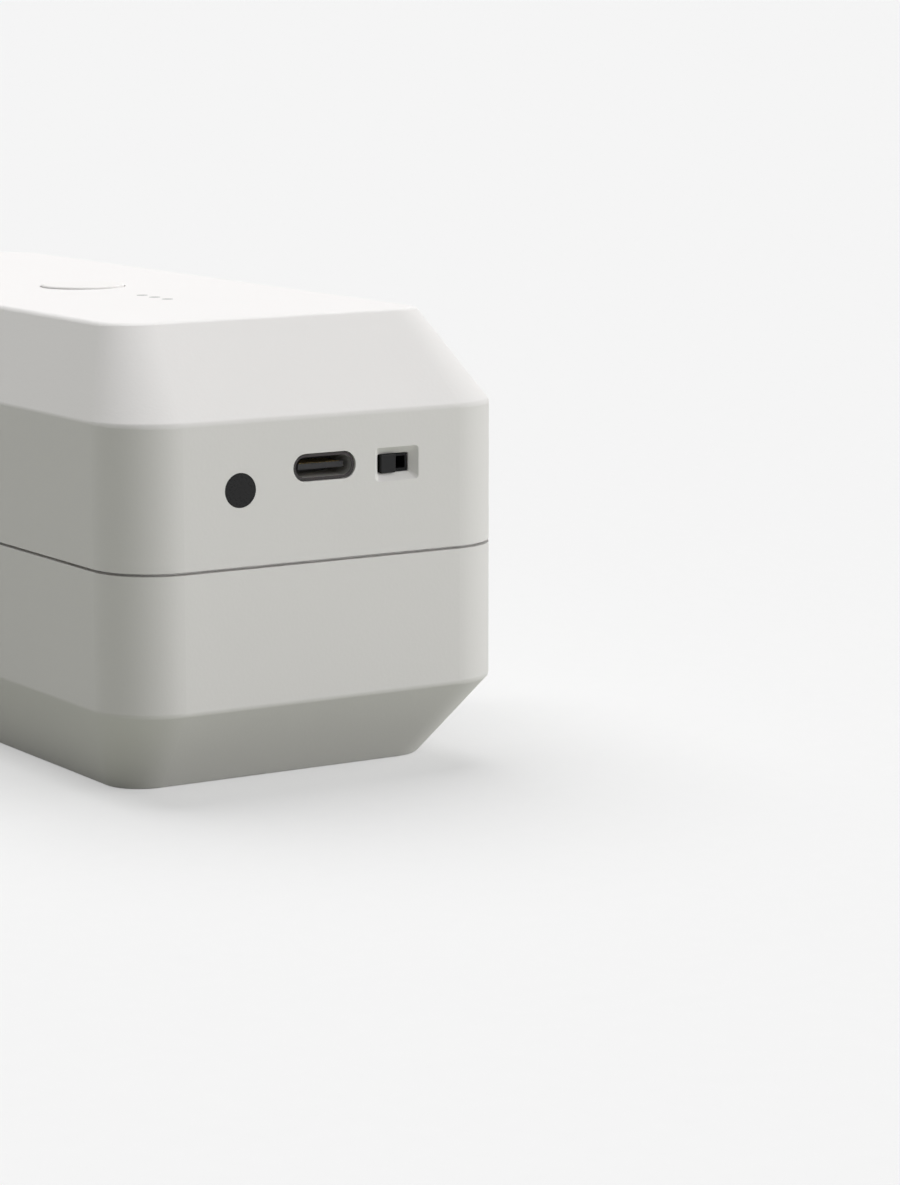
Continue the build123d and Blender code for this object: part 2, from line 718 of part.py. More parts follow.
# Two leads from the tray to the underside of the main board
lead_x = tray_port_x + wire_gap
with BuildPart() as battery_leads:
    for offset, z in zip(wire_offsets, (cell_z + cell_pitch, cell_z)):
        y = cell_y + offset
        with BuildLine() as lead_path:
            FilletPolyline((tray_port_x, y, z), (lead_x, y, z), (lead_x, y, board_z), radius=wire_bend)
        with BuildSketch(along_x(tray_port_x, y, z)) as lead_section:
            Circle(wire_radius)
        sweep(lead_section.sketch, path=lead_path.line)
battery_leads.part.label = "battery_leads"
export_step(battery_leads.part, "parts/battery_leads.step")


def spur_gear(x, y, z, teeth, first_tooth):
    """Spur gear blank with involute teeth. One tooth points at the heading first_tooth, in degrees."""
    pitch_radius = gear_module * teeth / 2
    pressure = math.radians(20)
    base_radius = pitch_radius * math.cos(pressure)
    tip_radius = pitch_radius + tooth_addendum * gear_module
    root_radius = pitch_radius - tooth_root * gear_module
    pitch_half = (math.pi * gear_module / 2 - tooth_backlash) / (2 * pitch_radius)

    def half_angle(radius):
        flank = math.acos(min(1.0, base_radius / radius))
        return pitch_half + math.tan(pressure) - pressure - math.tan(flank) + flank

    start_radius = max(base_radius, root_radius)
    steps = 5
    radii = [root_radius - 0.2]
    radii += [start_radius + (tip_radius - start_radius) * i / (steps - 1) for i in range(steps)]
    right = [(r * math.cos(half_angle(r)), -r * math.sin(half_angle(r))) for r in radii]
    left = [(px, -py) for px, py in reversed(right)]
    with BuildSketch(level(z, x, y)) as gear_section:
        Circle(root_radius)
        with PolarLocations(0, teeth, start_angle=first_tooth):
            Polygon(*right, *left, align=None)
    extrude(gear_section.sketch, amount=gear_face)


half_pinion_tooth = 180.0 / pinion_teeth
level_z = [gear_z + i * level_step for i in range(3)]

# Motor shaft and pinion
with BuildPart() as motor_shaft:
    shaft_z = gear_z - 0.2
    round_bar(level(shaft_z, motor_x, motor_y), motor_shaft_radius, gearhead_z + shaft_reach - shaft_z)
motor_shaft.part.label = "motor_shaft"
export_step(motor_shaft.part, "parts/motor_shaft.step")

with BuildPart() as motor_pinion:
    spur_gear(motor_x, motor_y, level_z[0], pinion_teeth, motor_heading + 180 + half_pinion_tooth)
    round_bar(level(level_z[0] + gear_face, motor_x, motor_y), gear_hub_radius, 2.0)
    round_bar(level(level_z[0] - 1, motor_x, motor_y), motor_shaft_radius, gear_face + 4.0, Mode.SUBTRACT)
motor_pinion.part.label = "motor_pinion"
export_step(motor_pinion.part, "parts/motor_pinion.step")

# Double gears on fixed pins
with BuildPart() as first_gear:
    spur_gear(first_x, first_y, level_z[0], large_teeth, motor_heading)
    round_bar(level(level_z[0] + gear_face, first_x, first_y), gear_hub_radius, level_step - gear_face)
    spur_gear(first_x, first_y, level_z[1], pinion_teeth, first_gear_heading + 180 + half_pinion_tooth)
    round_bar(level(level_z[1] + gear_face, first_x, first_y), gear_hub_radius, level_step)
    round_bar(level(level_z[0] - 1, first_x, first_y), pin_radius + turn_gap, 20, Mode.SUBTRACT)
first_gear.part.label = "first_gear"
export_step(first_gear.part, "parts/first_gear.step")

with BuildPart() as second_gear:
    round_bar(level(level_z[0], second_x, second_y), gear_hub_radius, level_step)
    spur_gear(second_x, second_y, level_z[1], large_teeth, first_gear_heading)
    round_bar(level(level_z[1] + gear_face, second_x, second_y), gear_hub_radius, level_step - gear_face)
    spur_gear(second_x, second_y, level_z[2], pinion_teeth, second_gear_heading + 180 + half_pinion_tooth)
    round_bar(level(level_z[0] - 1, second_x, second_y), pin_radius + turn_gap, 20, Mode.SUBTRACT)
second_gear.part.label = "second_gear"
export_step(second_gear.part, "parts/second_gear.step")

for name, x, y in (("first_gear_pin", first_x, first_y), ("second_gear_pin", second_x, second_y)):
    with BuildPart() as gear_pin:
        round_bar(level(frame_z, x, y), pin_radius, cover_z + cover_plate - frame_z)
    gear_pin.part.label = name
    export_step(gear_pin.part, f"parts/{name}.step")

# Wheel: gear, axle, spoked hub and rubber tyre
with BuildPart() as wheel_gear:
    spur_gear(wheel_x, wheel_y, level_z[2], wheel_teeth, second_gear_heading)
    boss_z = level_z[2] + gear_face
    round_bar(level(boss_z, wheel_x, wheel_y), bearing_boss_radius, tyre_z - boss_z)
    round_bar(level(level_z[2] - 1, wheel_x, wheel_y), axle_radius, 12, Mode.SUBTRACT)
wheel_gear.part.label = "wheel_gear"
export_step(wheel_gear.part, "parts/wheel_gear.step")

with BuildPart() as drive_axle:
    round_bar(level(frame_z + 0.2, wheel_x, wheel_y), axle_radius, bridge_z + bridge_plate - frame_z - 0.4)
drive_axle.part.label = "drive_axle"
export_step(drive_axle.part, "parts/drive_axle.step")

rim_radius = tyre_radius - tyre_thickness
with BuildPart() as wheel_hub:
    ring_bar(level(tyre_z, wheel_x, wheel_y), rim_radius, rim_radius - 2.0, tyre_width)
    round_bar(level(tyre_z, wheel_x, wheel_y), hub_core_radius, tyre_width)
    with BuildSketch(level(tyre_z + 2.0, wheel_x, wheel_y)) as web:
        Circle(rim_radius - 1.0)
        with PolarLocations((rim_radius + hub_core_radius) / 2 - 0.8, spoke_count):
            Circle(spoke_hole_radius, mode=Mode.SUBTRACT)
    extrude(web.sketch, amount=tyre_width - 4.0)
    round_bar(level(tyre_z - 1, wheel_x, wheel_y), axle_radius, tyre_width + 2, Mode.SUBTRACT)
wheel_hub.part.label = "wheel_hub"
export_step(wheel_hub.part, "parts/wheel_hub.step")

with BuildPart() as drive_tyre:
    with BuildSketch(level(tyre_z, wheel_x, wheel_y)) as tyre_section:
        Circle(tyre_radius)
        with PolarLocations(tyre_radius, groove_count):
            Rectangle(2 * groove_depth, groove_width, mode=Mode.SUBTRACT)
        Circle(rim_radius, mode=Mode.SUBTRACT)
    extrude(tyre_section.sketch, amount=tyre_width)
drive_tyre.part.label = "drive_tyre"
export_step(drive_tyre.part, "parts/drive_tyre.step")

for name, z, height in (("lower_bearing", frame_z, plate), ("upper_bearing", bridge_z, bridge_plate)):
    with BuildPart() as bearing:
        ring_bar(level(z, wheel_x, wheel_y), bearing_radius, axle_radius + turn_gap, height)
    bearing.part.label = name
    export_step(bearing.part, f"parts/{name}.step")


def frame_outline():
    """Outline shared by the gearbox's base plate and cover."""
    with BuildLine() as outline:
        Polyline(
            (frame_far_x, frame_step_y), (frame_step_x, frame_step_y), (frame_step_x, frame_back_y),
            (frame_port_x, frame_back_y), (frame_port_x, frame_rail_y), (frame_far_x, frame_rail_y),
            close=True,
        )
    make_face(outline.edges())


# Gearbox base: a plate with pillars that carry the cover. Its corners are as round as its step allows.
frame_fillet = min(frame_corner, 0.4 * (frame_step_y - frame_back_y))
with BuildPart() as gearbox_base:
    with BuildSketch(level(frame_z)) as base_section:
        frame_outline()
    extrude(base_section.sketch, amount=plate, mode=Mode.REPLACE)
    fillet(gearbox_base.edges().filter_by(Axis.Z), frame_fillet)
    for x, y in cover_pillars_xy + bridge_pillars_xy:
        round_bar(level(frame_z + plate, x, y), pillar_radius, cover_z - frame_z - plate)
        round_bar(level(frame_z + plate, x, y), board_screw_radius, 20, Mode.SUBTRACT)
    for x, y in frame_screws_xy:
        round_bar(level(frame_z - 1, x, y), board_screw_radius + fit_gap, 5, Mode.SUBTRACT)
    round_bar(level(frame_z - 1, wheel_x, wheel_y), bearing_radius, plate + 2, Mode.SUBTRACT)
    for x, y in ((first_x, first_y), (second_x, second_y)):
        round_bar(level(frame_z - 1, x, y), pin_radius, plate + 2, Mode.SUBTRACT)
        ring_bar(level(frame_z + plate, x, y), gear_hub_radius, pin_radius, 0.3)
gearbox_base.part.label = "gearbox_base"
export_step(gearbox_base.part, "parts/gearbox_base.step")

with BuildPart() as gearbox_cover:
    with BuildSketch(level(cover_z)) as cover_section:
        frame_outline()
    extrude(cover_section.sketch, amount=cover_plate, mode=Mode.REPLACE)
    fillet(gearbox_cover.edges().filter_by(Axis.Z), frame_fillet)
    for x, y in cover_pillars_xy + bridge_pillars_xy:
        round_bar(level(cover_z - 1, x, y), board_screw_radius + fit_gap, 5, Mode.SUBTRACT)
    round_bar(level(cover_z - 1, wheel_x, wheel_y), hub_core_radius, 5, Mode.SUBTRACT)
    round_bar(level(cover_z - 1, motor_x, motor_y), boss_radius + fit_gap, 5, Mode.SUBTRACT)
    for x, y in ((first_x, first_y), (second_x, second_y)):
        round_bar(level(cover_z - 1, x, y), pin_radius, 5, Mode.SUBTRACT)
gearbox_cover.part.label = "gearbox_cover"
export_step(gearbox_cover.part, "parts/gearbox_cover.step")

# Bridge over the wheel, on two legs, that holds the upper bearing
with BuildPart() as wheel_bridge:
    block(
        level(bridge_z, wheel_x, bridge_y + 1.5),
        2 * (bridge_x + pillar_radius), bridge_depth, bridge_plate, corner=2.4,
    )
    for x, y in bridge_pillars_xy:
        round_bar(level(cover_z + cover_plate, x, y), pillar_radius, bridge_z - cover_z - cover_plate)
        round_bar(level(cover_z, x, y), board_screw_radius + fit_gap, 30, Mode.SUBTRACT)
    round_bar(level(bridge_z - 1, wheel_x, wheel_y), bearing_radius, bridge_plate + 2, Mode.SUBTRACT)
wheel_bridge.part.label = "wheel_bridge"
export_step(wheel_bridge.part, "parts/wheel_bridge.step")

with BuildPart() as cover_screws:
    for x, y in cover_pillars_xy:
        machine_screw(
            x, y, cover_z + cover_plate, board_head_radius, board_head_height,
            board_screw_radius - turn_gap, 9.0, -1,
        )
    for x, y in bridge_pillars_xy:
        bridge_top_z = bridge_z + bridge_plate
        machine_screw(
            x, y, bridge_top_z, board_head_radius, board_head_height,
            board_screw_radius - turn_gap, bridge_top_z - cover_z + 7.0, -1,
        )
cover_screws.part.label = "cover_screws"
export_step(cover_screws.part, "parts/cover_screws.step")

with BuildPart() as frame_screws:
    for x, y in frame_screws_xy:
        machine_screw(
            x, y, frame_z + plate, board_head_radius, board_head_height,
            board_screw_radius - turn_gap, plate + 1.6, -1,
        )
frame_screws.part.label = "frame_screws"
export_step(frame_screws.part, "parts/frame_screws.step")

# Motor: a gearhead on the cover and the can above it, with two tabs on the main board
with BuildPart() as motor_gearhead:
    round_bar(level(gearhead_z, motor_x, motor_y), motor_radius, gearhead_length)
    round_bar(level(cover_z, motor_x, motor_y), boss_radius, cover_plate)
    round_bar(
        level(cover_z - 1, motor_x, motor_y),
        motor_shaft_radius + turn_gap, cover_plate + shaft_reach + 2, Mode.SUBTRACT,
    )
motor_gearhead.part.label = "motor_gearhead"
export_step(motor_gearhead.part, "parts/motor_gearhead.step")

with BuildPart() as motor_can:
    round_bar(level(motor_z, motor_x, motor_y), motor_radius - 0.2, motor_top_z - motor_z)
    fillet(motor_can.edges().group_by(Axis.Z)[-1], 1.2)
    round_bar(level(motor_top_z, motor_x, motor_y), 3.0, 0.8)
    for side in (-1, 1):
        block(level(motor_top_z - 0.5, motor_x, motor_y + side * 6.0), 2.0, 0.5, board_z - motor_top_z + 0.5)
motor_can.part.label = "motor_can"
export_step(motor_can.part, "parts/motor_can.step")

# Hangers: a sprung post that lifts and turns, with two rollers on one axle
roller_y = rail_y + roller_rise
clip_y = post_inner_y + 0.6
seat_y = clip_y + clip_thickness + 0.15
for side, x in (("port", wheel_x + hanger_x), ("far", wheel_x - hanger_x)):
    with BuildPart() as guide_bush:
        round_bar(along_y(x, bush_inner_y, seam_z), bush_radius, rail_y + bush_proud - bush_inner_y)
        round_bar(
            along_y(x, rail_y - skin - bush_flange, seam_z), bush_flange_radius, bush_flange
        )
        round_bar(along_y(x, bush_inner_y - 1, seam_z), post_radius + turn_gap, 20, Mode.SUBTRACT)
    guide_bush.part.label = f"{side}_guide_bush"
    export_step(guide_bush.part, f"parts/{side}_guide_bush.step")

    with BuildPart() as hanger_post:
        round_bar(along_y(x, post_inner_y, seam_z), post_radius, roller_y - yoke_height / 2 - post_inner_y)
        groove_plane = along_y(x, clip_y - 0.05, seam_z)
        ring_bar(groove_plane, post_radius + 1, post_radius - 0.6, clip_thickness + 0.1, Mode.SUBTRACT)
        block(
            along_y(x, roller_y - yoke_height / 2, seam_z), yoke_width, yoke_depth, yoke_height, corner=1.0
        )
        round_bar(level(seam_z - 10, x, roller_y), roller_axle_radius + turn_gap, 20, Mode.SUBTRACT)
    hanger_post.part.label = f"{side}_hanger_post"
    export_step(hanger_post.part, f"parts/{side}_hanger_post.step")

    with BuildPart() as post_clip:
        ring_bar(along_y(x, clip_y, seam_z), clip_radius, post_radius - 0.55, clip_thickness)
        block(along_y(x, clip_y - 1, seam_z - clip_radius), 2.4, clip_radius, 3, Mode.SUBTRACT)
    post_clip.part.label = f"{side}_post_clip"
    export_step(post_clip.part, f"parts/{side}_post_clip.step")

    with BuildPart() as spring_seat:
        ring_bar(along_y(x, seat_y, seam_z), seat_radius, post_radius + turn_gap, seat_thickness)
    spring_seat.part.label = f"{side}_spring_seat"
    export_step(spring_seat.part, f"parts/{side}_spring_seat.step")

    with BuildPart() as hanger_spring:
        ring_bar(
            along_y(x, seat_y + seat_thickness, seam_z),
            spring_radius, spring_radius - spring_wire, bush_inner_y - seat_y - seat_thickness,
        )
    hanger_spring.part.label = f"{side}_hanger_spring"
    export_step(hanger_spring.part, f"parts/{side}_hanger_spring.step")

    roller_inner = yoke_depth / 2 + part_gap
    with BuildPart() as roller_axle:
        axle_half = roller_inner + roller_width + 0.6
        round_bar(level(seam_z - axle_half, x, roller_y), roller_axle_radius, 2 * axle_half)
    roller_axle.part.label = f"{side}_roller_axle"
    export_step(roller_axle.part, f"parts/{side}_roller_axle.step")

    with BuildPart() as rail_rollers:
        for z in (seam_z + roller_inner, seam_z - roller_inner - roller_width):
            ring_bar(level(z, x, roller_y), roller_radius, roller_axle_radius, roller_width)
        fillet(rail_rollers.edges().filter_by(GeomType.CIRCLE).filter_by(lambda e: e.radius > 2), 0.5)
    rail_rollers.part.label = f"{side}_rail_rollers"
    export_step(rail_rollers.part, f"parts/{side}_rail_rollers.step")
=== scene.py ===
# %% [markdown]
# Smart curtain motor
#
# A bevelled white box that hangs on a curtain rail and drives itself along it with a rubber wheel.
# The CAD frame already holds every piece at its real size. This lesson gives each piece the finish
# of the real one, models the pieces whose shape a solid can't carry, and sets up a plain studio.
# All lengths are in metres, with +X along the rail, +Y towards the rail and +Z out of the button face.

# %% Open the frame
import math
import bmesh
import bpy
from mathutils import Matrix, Vector


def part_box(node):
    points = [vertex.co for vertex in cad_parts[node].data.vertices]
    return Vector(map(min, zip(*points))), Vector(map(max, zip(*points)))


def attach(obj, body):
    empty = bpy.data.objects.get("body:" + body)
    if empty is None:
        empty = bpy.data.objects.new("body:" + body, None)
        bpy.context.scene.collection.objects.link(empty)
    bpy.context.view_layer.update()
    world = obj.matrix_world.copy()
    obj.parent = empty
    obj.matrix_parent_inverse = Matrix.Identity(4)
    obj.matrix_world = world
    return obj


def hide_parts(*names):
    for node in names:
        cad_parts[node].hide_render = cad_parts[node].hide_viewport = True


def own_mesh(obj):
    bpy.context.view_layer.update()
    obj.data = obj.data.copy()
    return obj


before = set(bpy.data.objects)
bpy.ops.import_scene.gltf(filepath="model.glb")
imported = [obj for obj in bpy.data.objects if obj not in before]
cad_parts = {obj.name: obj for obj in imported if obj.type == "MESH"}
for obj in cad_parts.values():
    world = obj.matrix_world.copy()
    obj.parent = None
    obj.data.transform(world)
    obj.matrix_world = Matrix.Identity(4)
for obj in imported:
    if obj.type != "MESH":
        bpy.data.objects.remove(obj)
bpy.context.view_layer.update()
scene = bpy.context.scene
MM = 0.001
HANGERS = ("port", "far")  # named after the nearer end
print("nodes in the frame:", len(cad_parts))

# %% [markdown]
# Colours
#
# A colour picked from a screen is stored with a curve, and Blender's nodes work without it. One
# function undoes the curve, so that every colour in this file can be written as a familiar hex code.


# %% Hex codes to Blender's colours
def linear(hex_code):
    """Colour of an sRGB hex code in the linear values that nodes take."""
    channels = [int(hex_code[i:i + 2], 16) / 255 for i in (1, 3, 5)]
    return [c / 12.92 if c <= 0.04045 else ((c + 0.055) / 1.055) ** 2.4 for c in channels] + [1.0]


print("paper white in linear values:", [round(c, 3) for c in linear("#F5F5F5")])

# %% [markdown]
# Building node trees from code
#
# Shader trees and Geometry Nodes trees are made of the same thing: nodes with settings, values and
# links. One small function adds a node and fills it in. An input that is given a socket is linked to
# it, one that is given a node is linked to that node's first output, a hex code becomes a colour, and
# any other value is set. That keeps each tree short enough to read.


# %% Add a node
def set_inputs(tree, node, inputs):
    """Fills a node in. inputs pairs an input's name or number with a value, a colour, a socket or a node."""
    for key, value in dict(inputs).items():
        if isinstance(value, bpy.types.Node):
            value = value.outputs[0]
        elif isinstance(value, str):
            value = linear(value)
        if isinstance(value, bpy.types.NodeSocket):
            tree.links.new(value, node.inputs[key])
        else:
            node.inputs[key].default_value = value


def add_node(tree, kind, inputs=(), **settings):
    """Adds a node, with its settings and its inputs."""
    node = tree.nodes.new(kind)
    for name, value in settings.items():
        setattr(node, name, value)
    set_inputs(tree, node, inputs)
    return node


def start_material(name, roughness, metallic=0.0, **more):
    """New material. Returns it with its tree, its shader and the object's own coordinates."""
    material = bpy.data.materials.new(name)
    material.use_nodes = True
    tree = material.node_tree
    shader = tree.nodes["Principled BSDF"]
    set_inputs(tree, shader, {"Roughness": roughness, "Metallic": metallic})
    set_inputs(tree, shader, {key.replace("_", " "): value for key, value in more.items()})
    place = add_node(tree, "ShaderNodeTexCoord").outputs["Object"]
    return material, tree, shader, place


def finish_surface(tree, shader, factor, colours, height, strength, depth):
    """Gives a shader one of two colours, by a factor, and a relief that rises by the depth at height 1."""
    first, second = colours
    tint = add_node(tree, "ShaderNodeMix", {"Factor": factor, 6: first, 7: second}, data_type="RGBA")
    relief = add_node(tree, "ShaderNodeBump", {"Height": height, "Strength": strength, "Distance": depth})
    set_inputs(tree, shader, {"Base Color": tint.outputs[2], "Normal": relief})


# %% [markdown]
# A grain for moulded and rolled surfaces
#
# No real surface is one flat colour. A moulded wall carries the grain of its mould, and its colour
# and gloss drift a little from place to place. Two noises give that: a fine one tilts the light and
# shifts the gloss, and a slow one shifts the colour. Each takes its size in millimetres.


# %% Grain and drift
GLOSS_DRIFT = 0.05         # of the roughness, either way


def grained(name, colour, roughness, grain_mm, depth_mm, drift=0.03, drift_mm=18.0, metallic=0.0, **more):
    """Material with a grain of the given size and depth, in millimetres, and a slow drift of colour."""
    material, tree, shader, place = start_material(name, roughness, metallic, **more)
    fine, slow = [
        add_node(tree, "ShaderNodeTexNoise", {"Vector": place, "Scale": 1 / (size * MM), "Detail": detail})
        for size, detail in ((grain_mm, 3.0), (drift_mm, 2.0))
    ]
    base = linear(colour)
    darker = [c * (1 - drift) for c in base[:3]] + [1.0]
    lighter = [min(c * (1 + drift), 1.0) for c in base[:3]] + [1.0]
    gloss = add_node(
        tree, "ShaderNodeMapRange",
        {"Value": fine, "To Min": roughness - GLOSS_DRIFT, "To Max": min(roughness + GLOSS_DRIFT, 1.0)},
    )
    set_inputs(tree, shader, {"Roughness": gloss})
    finish_surface(tree, shader, slow, (darker, lighter), fine, strength=0.6, depth=depth_mm * MM)
    return material


def dress(material, *names):
    """Gives CAD nodes one material."""
    for name in names:
        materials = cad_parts[name].data.materials
        materials.clear()
        materials.append(material)


# %% [markdown]
# The shells
#
# The casing is injection-moulded in a warm white blend of ABS. Its mould is spark-eroded, which
# leaves a fine matt grain that catches no sharp highlight. A white with strong noise in its colour
# would look dirty, so the grain is in the relief and the gloss, and the colour hardly drifts.
#
# In each finish below, the three numbers after the colour are its roughness, and the size and the
# depth of its grain in millimetres.

# %% Shell and button plastic
shell_abs = grained("spark-eroded white ABS", "#E9E7E6", 0.62, 0.45, 0.020, drift=0.012)
button_abs = grained("fine-grained white ABS", "#E8E6E4", 0.58, 0.35, 0.020, drift=0.012)
dress(shell_abs, "upper_shell", "lower_shell")
dress(button_abs, "button_cap")

# %% [markdown]
# Other mouldings
#
# Each plastic inside has its own grade: a glass-filled frame with a coarse, greyish skin, gears of
# slippery acetal with a waxy gleam, a hub of tough nylon, a battery tray of flame-retardant ABS, and
# rollers that look like the gears but wear smooth. Grain and gloss tell them apart more than colour
# does.

# %% Plastics of the mechanism
frame_nylon = grained("glass-filled black nylon", "#2C2E30", 0.55, 0.50, 0.03, drift=0.10)
gear_acetal = grained("natural white acetal", "#DCDAD2", 0.38, 0.80, 0.006, Subsurface_Weight=0.08)
hub_nylon = grained("grey nylon", "#4A4D50", 0.48, 0.45, 0.02, drift=0.08)
tray_abs = grained("flame-retardant black ABS", "#232425", 0.50, 0.40, 0.02, drift=0.08)
bush_acetal = grained("turned grey acetal", "#B9B9B5", 0.35, 0.25, 0.008)
roller_acetal = grained("worn white acetal", "#E2E1DB", 0.32, 1.20, 0.006, drift=0.04, drift_mm=4.0)
dark_lcp = grained(
    "black connector plastic", "#121213", 0.55, 0.20, 0.006, drift=0.08, Specular_IOR_Level=0.15
)
tongue_lcp = grained(
    "dark grey connector plastic", "#38383A", 0.50, 0.20, 0.006, drift=0.08, Specular_IOR_Level=0.2
)
knob_abs = grained("fine-grained black ABS", "#1A1A1B", 0.55, 0.25, 0.010, drift=0.05, Specular_IOR_Level=0.2)
dress(frame_nylon, "gearbox_base", "gearbox_cover", "wheel_bridge")
dress(gear_acetal, "first_gear", "second_gear", "wheel_gear")
dress(hub_nylon, "wheel_hub")
dress(tray_abs, "battery_tray")
dress(dark_lcp, "switch_body", "key_switch", "key_plunger")
dress(tongue_lcp, "usb_tongue")
dress(knob_abs, "switch_knob")
for side in HANGERS:
    dress(bush_acetal, f"{side}_guide_bush", f"{side}_spring_seat")
    dress(roller_acetal, f"{side}_rail_rollers")

# %% [markdown]
# Rubber
#
# The tyre is moulded EPDM rubber. It is dull, nearly black and dusted by wear, so its colour drifts
# more than that of any plastic here, over a few millimetres.

# %% Tyre rubber
tyre_rubber = grained("moulded EPDM rubber", "#26272A", 0.78, 0.60, 0.03, drift=0.12, drift_mm=6.0)
dress(tyre_rubber, "drive_tyre")

# %% [markdown]
# Metals
#
# A metal's colour is in its reflection, so its base colour is bright and its gloss carries the story:
# ground shafts and bearings are shiny, zinc-plated screws are satin, and rolled cans are softer.

# %% Steels, brass and nickel
screw_steel = grained(
    "zinc-plated steel", "#B9BDC2", 0.30, 0.30, 0.006, drift=0.06, drift_mm=2.0, metallic=1.0
)
shaft_steel = grained("ground steel", "#C6C8CA", 0.16, 0.12, 0.002, drift=0.04, metallic=1.0)
can_steel = grained("rolled tin-plated steel", "#A9ABAD", 0.34, 0.25, 0.005, drift=0.06, metallic=1.0)
shield_steel = grained("pressed tinned steel", "#B4B6B8", 0.32, 0.30, 0.005, drift=0.06, metallic=1.0)
spring_wire = grained("drawn spring wire", "#8E9194", 0.26, 0.15, 0.004, drift=0.08, metallic=1.0)
pinion_brass = grained("hobbed brass", "#C9B071", 0.26, 0.20, 0.004, drift=0.06, metallic=1.0)
bearing_steel = grained("polished bearing steel", "#BEC0C2", 0.20, 0.20, 0.002, drift=0.04, metallic=1.0)
contact_nickel = grained("bright nickel strip", "#CFCBBF", 0.20, 0.20, 0.003, drift=0.04, metallic=1.0)
dress(screw_steel, "case_screws", "board_screws", "port_board_screws", "cover_screws", "frame_screws")
dress(shaft_steel, "motor_shaft", "drive_axle", "first_gear_pin", "second_gear_pin")
dress(can_steel, "motor_can", "motor_gearhead")
dress(shield_steel, "radio_module")
dress(pinion_brass, "motor_pinion")
dress(bearing_steel, "lower_bearing", "upper_bearing")
dress(contact_nickel, "battery_contacts")
for side in HANGERS:
    dress(shaft_steel, f"{side}_hanger_post", f"{side}_roller_axle")
    dress(spring_wire, f"{side}_post_clip")

# %% [markdown]
# Dark window, smoked light guide and small sensors
#
# The sensor's window is a tinted disc with a moulded gloss: black until something bright reflects in
# it. The light guide is smoke-tinted and matt, so that each of its tips reads as a grey dot while off.

# %% Window, guide, sensor and lights
window_pc = grained("tinted polycarbonate", "#1B1B1C", 0.28, 0.30, 0.0008, drift=0.03, Specular_IOR_Level=0.2)
guide_pmma = grained("smoke-tinted acrylic", "#8C8D8B", 0.40, 0.30, 0.008, drift=0.02, IOR=1.49)
sensor_resin = grained("clear sensor resin", "#3A3B33", 0.15, 0.50, 0.002)
led_resin = grained("milky resin", "#E6E2C6", 0.25, 0.30, 0.003)
dress(window_pc, "sensor_window")
dress(guide_pmma, "light_guide")
dress(sensor_resin, "light_sensor")
dress(led_resin, "status_leds")

# %% [markdown]
# Two leads and a flat cable
#
# The two battery leads are one node, but one is red and one black, as their polarity asks. The flat
# cable is white film over tinned conductors a millimetre apart, which show through as grey lines.
# Both finishes only need to know how far across the object a point lies, which is its Y coordinate.

# %% Red and black insulation
low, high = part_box("battery_leads")
lead_pvc, tree, shader, place = start_material("extruded PVC insulation", 0.40)
sideways = add_node(tree, "ShaderNodeSeparateXYZ", {"Vector": place}).outputs["Y"]
second = add_node(
    tree, "ShaderNodeMath", {0: sideways, 1: (low[1] + high[1]) / 2}, operation="GREATER_THAN"
)
scuffs = add_node(tree, "ShaderNodeTexNoise", {"Vector": place, "Scale": 1 / (0.8 * MM), "Detail": 3.0})
finish_surface(tree, shader, second, ("#A83A32", "#1F2022"), scuffs, strength=0.3, depth=0.01 * MM)
dress(lead_pvc, "battery_leads")

# %% Conductors under film
CONDUCTOR_PITCH = 1.0 * MM
HALF_CONDUCTOR = 0.30      # half a conductor's width, as a share of the pitch
cable_film, tree, shader, place = start_material("laminated polyester film", 0.35)
sideways = add_node(tree, "ShaderNodeSeparateXYZ", {"Vector": place}).outputs["Y"]
lane = add_node(tree, "ShaderNodeMath", {0: sideways, 1: CONDUCTOR_PITCH}, operation="DIVIDE")
turn = add_node(tree, "ShaderNodeMath", {0: lane}, operation="FRACT")
conductor = add_node(tree, "ShaderNodeMath", {0: turn, 1: 0.5, 2: HALF_CONDUCTOR}, operation="COMPARE")
finish_surface(tree, shader, conductor, ("#DDE0E3", "#9EA2A6"), conductor, strength=0.5, depth=0.05 * MM)
dress(cable_film, "flat_cable")
low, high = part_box("flat_cable")
print("conductors in the cable:", round((high[1] - low[1]) / CONDUCTOR_PITCH))

# %% [markdown]
# Charging receptacle
#
# The receptacle is folded from steel sheet. Inside it is dull tin, dimmed by its own depth, while the
# edge of its mouth carries painted shade, a dark grey, so that the opening reads as one dark slot from
# outside. The distance from the mouth decides between the two, over a tenth of a millimetre.

# %% Steel with painted shade at the mouth
low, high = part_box("usb_receptacle")
port_steel, tree, shader, place = start_material("folded tin-plated steel", 0.55, metallic=1.0)
along = add_node(tree, "ShaderNodeSeparateXYZ", {"Vector": place}).outputs["X"]
# Painted shade: the last tenth of a millimetre at the mouth turns dark grey.
painted_mouth_shade = add_node(
    tree, "ShaderNodeMapRange",
    {"Value": along, "From Min": high[0] - 0.15 * MM, "From Max": high[0] - 0.05 * MM},
)
streaks = add_node(tree, "ShaderNodeTexNoise", {"Vector": place, "Scale": 1 / (0.4 * MM), "Detail": 3.0})
bare = add_node(tree, "ShaderNodeMix", {"Factor": streaks, 6: "#C4C3BF", 7: "#D6D5D1"}, data_type="RGBA")
steel = add_node(
    tree, "ShaderNodeMix", {"Factor": painted_mouth_shade, 6: bare.outputs[2], 7: "#3E3C3C"}, data_type="RGBA"
)
set_inputs(tree, shader, {"Base Color": steel.outputs[2]})
dress(port_steel, "usb_receptacle")

# %% [markdown]
# Circuit boards
#
# A board is glass laminate under green lacquer, and its copper shows through as paler lines. Real
# tracks run in bundles that turn by right angles, with plain board between. Square cells get that:
# each draws its stripes along or across by chance, and a slow noise blanks the stripes here and there.
# Tracks of 0.2 mm would vanish at this distance, so these are drawn at a pitch of 0.9 mm.

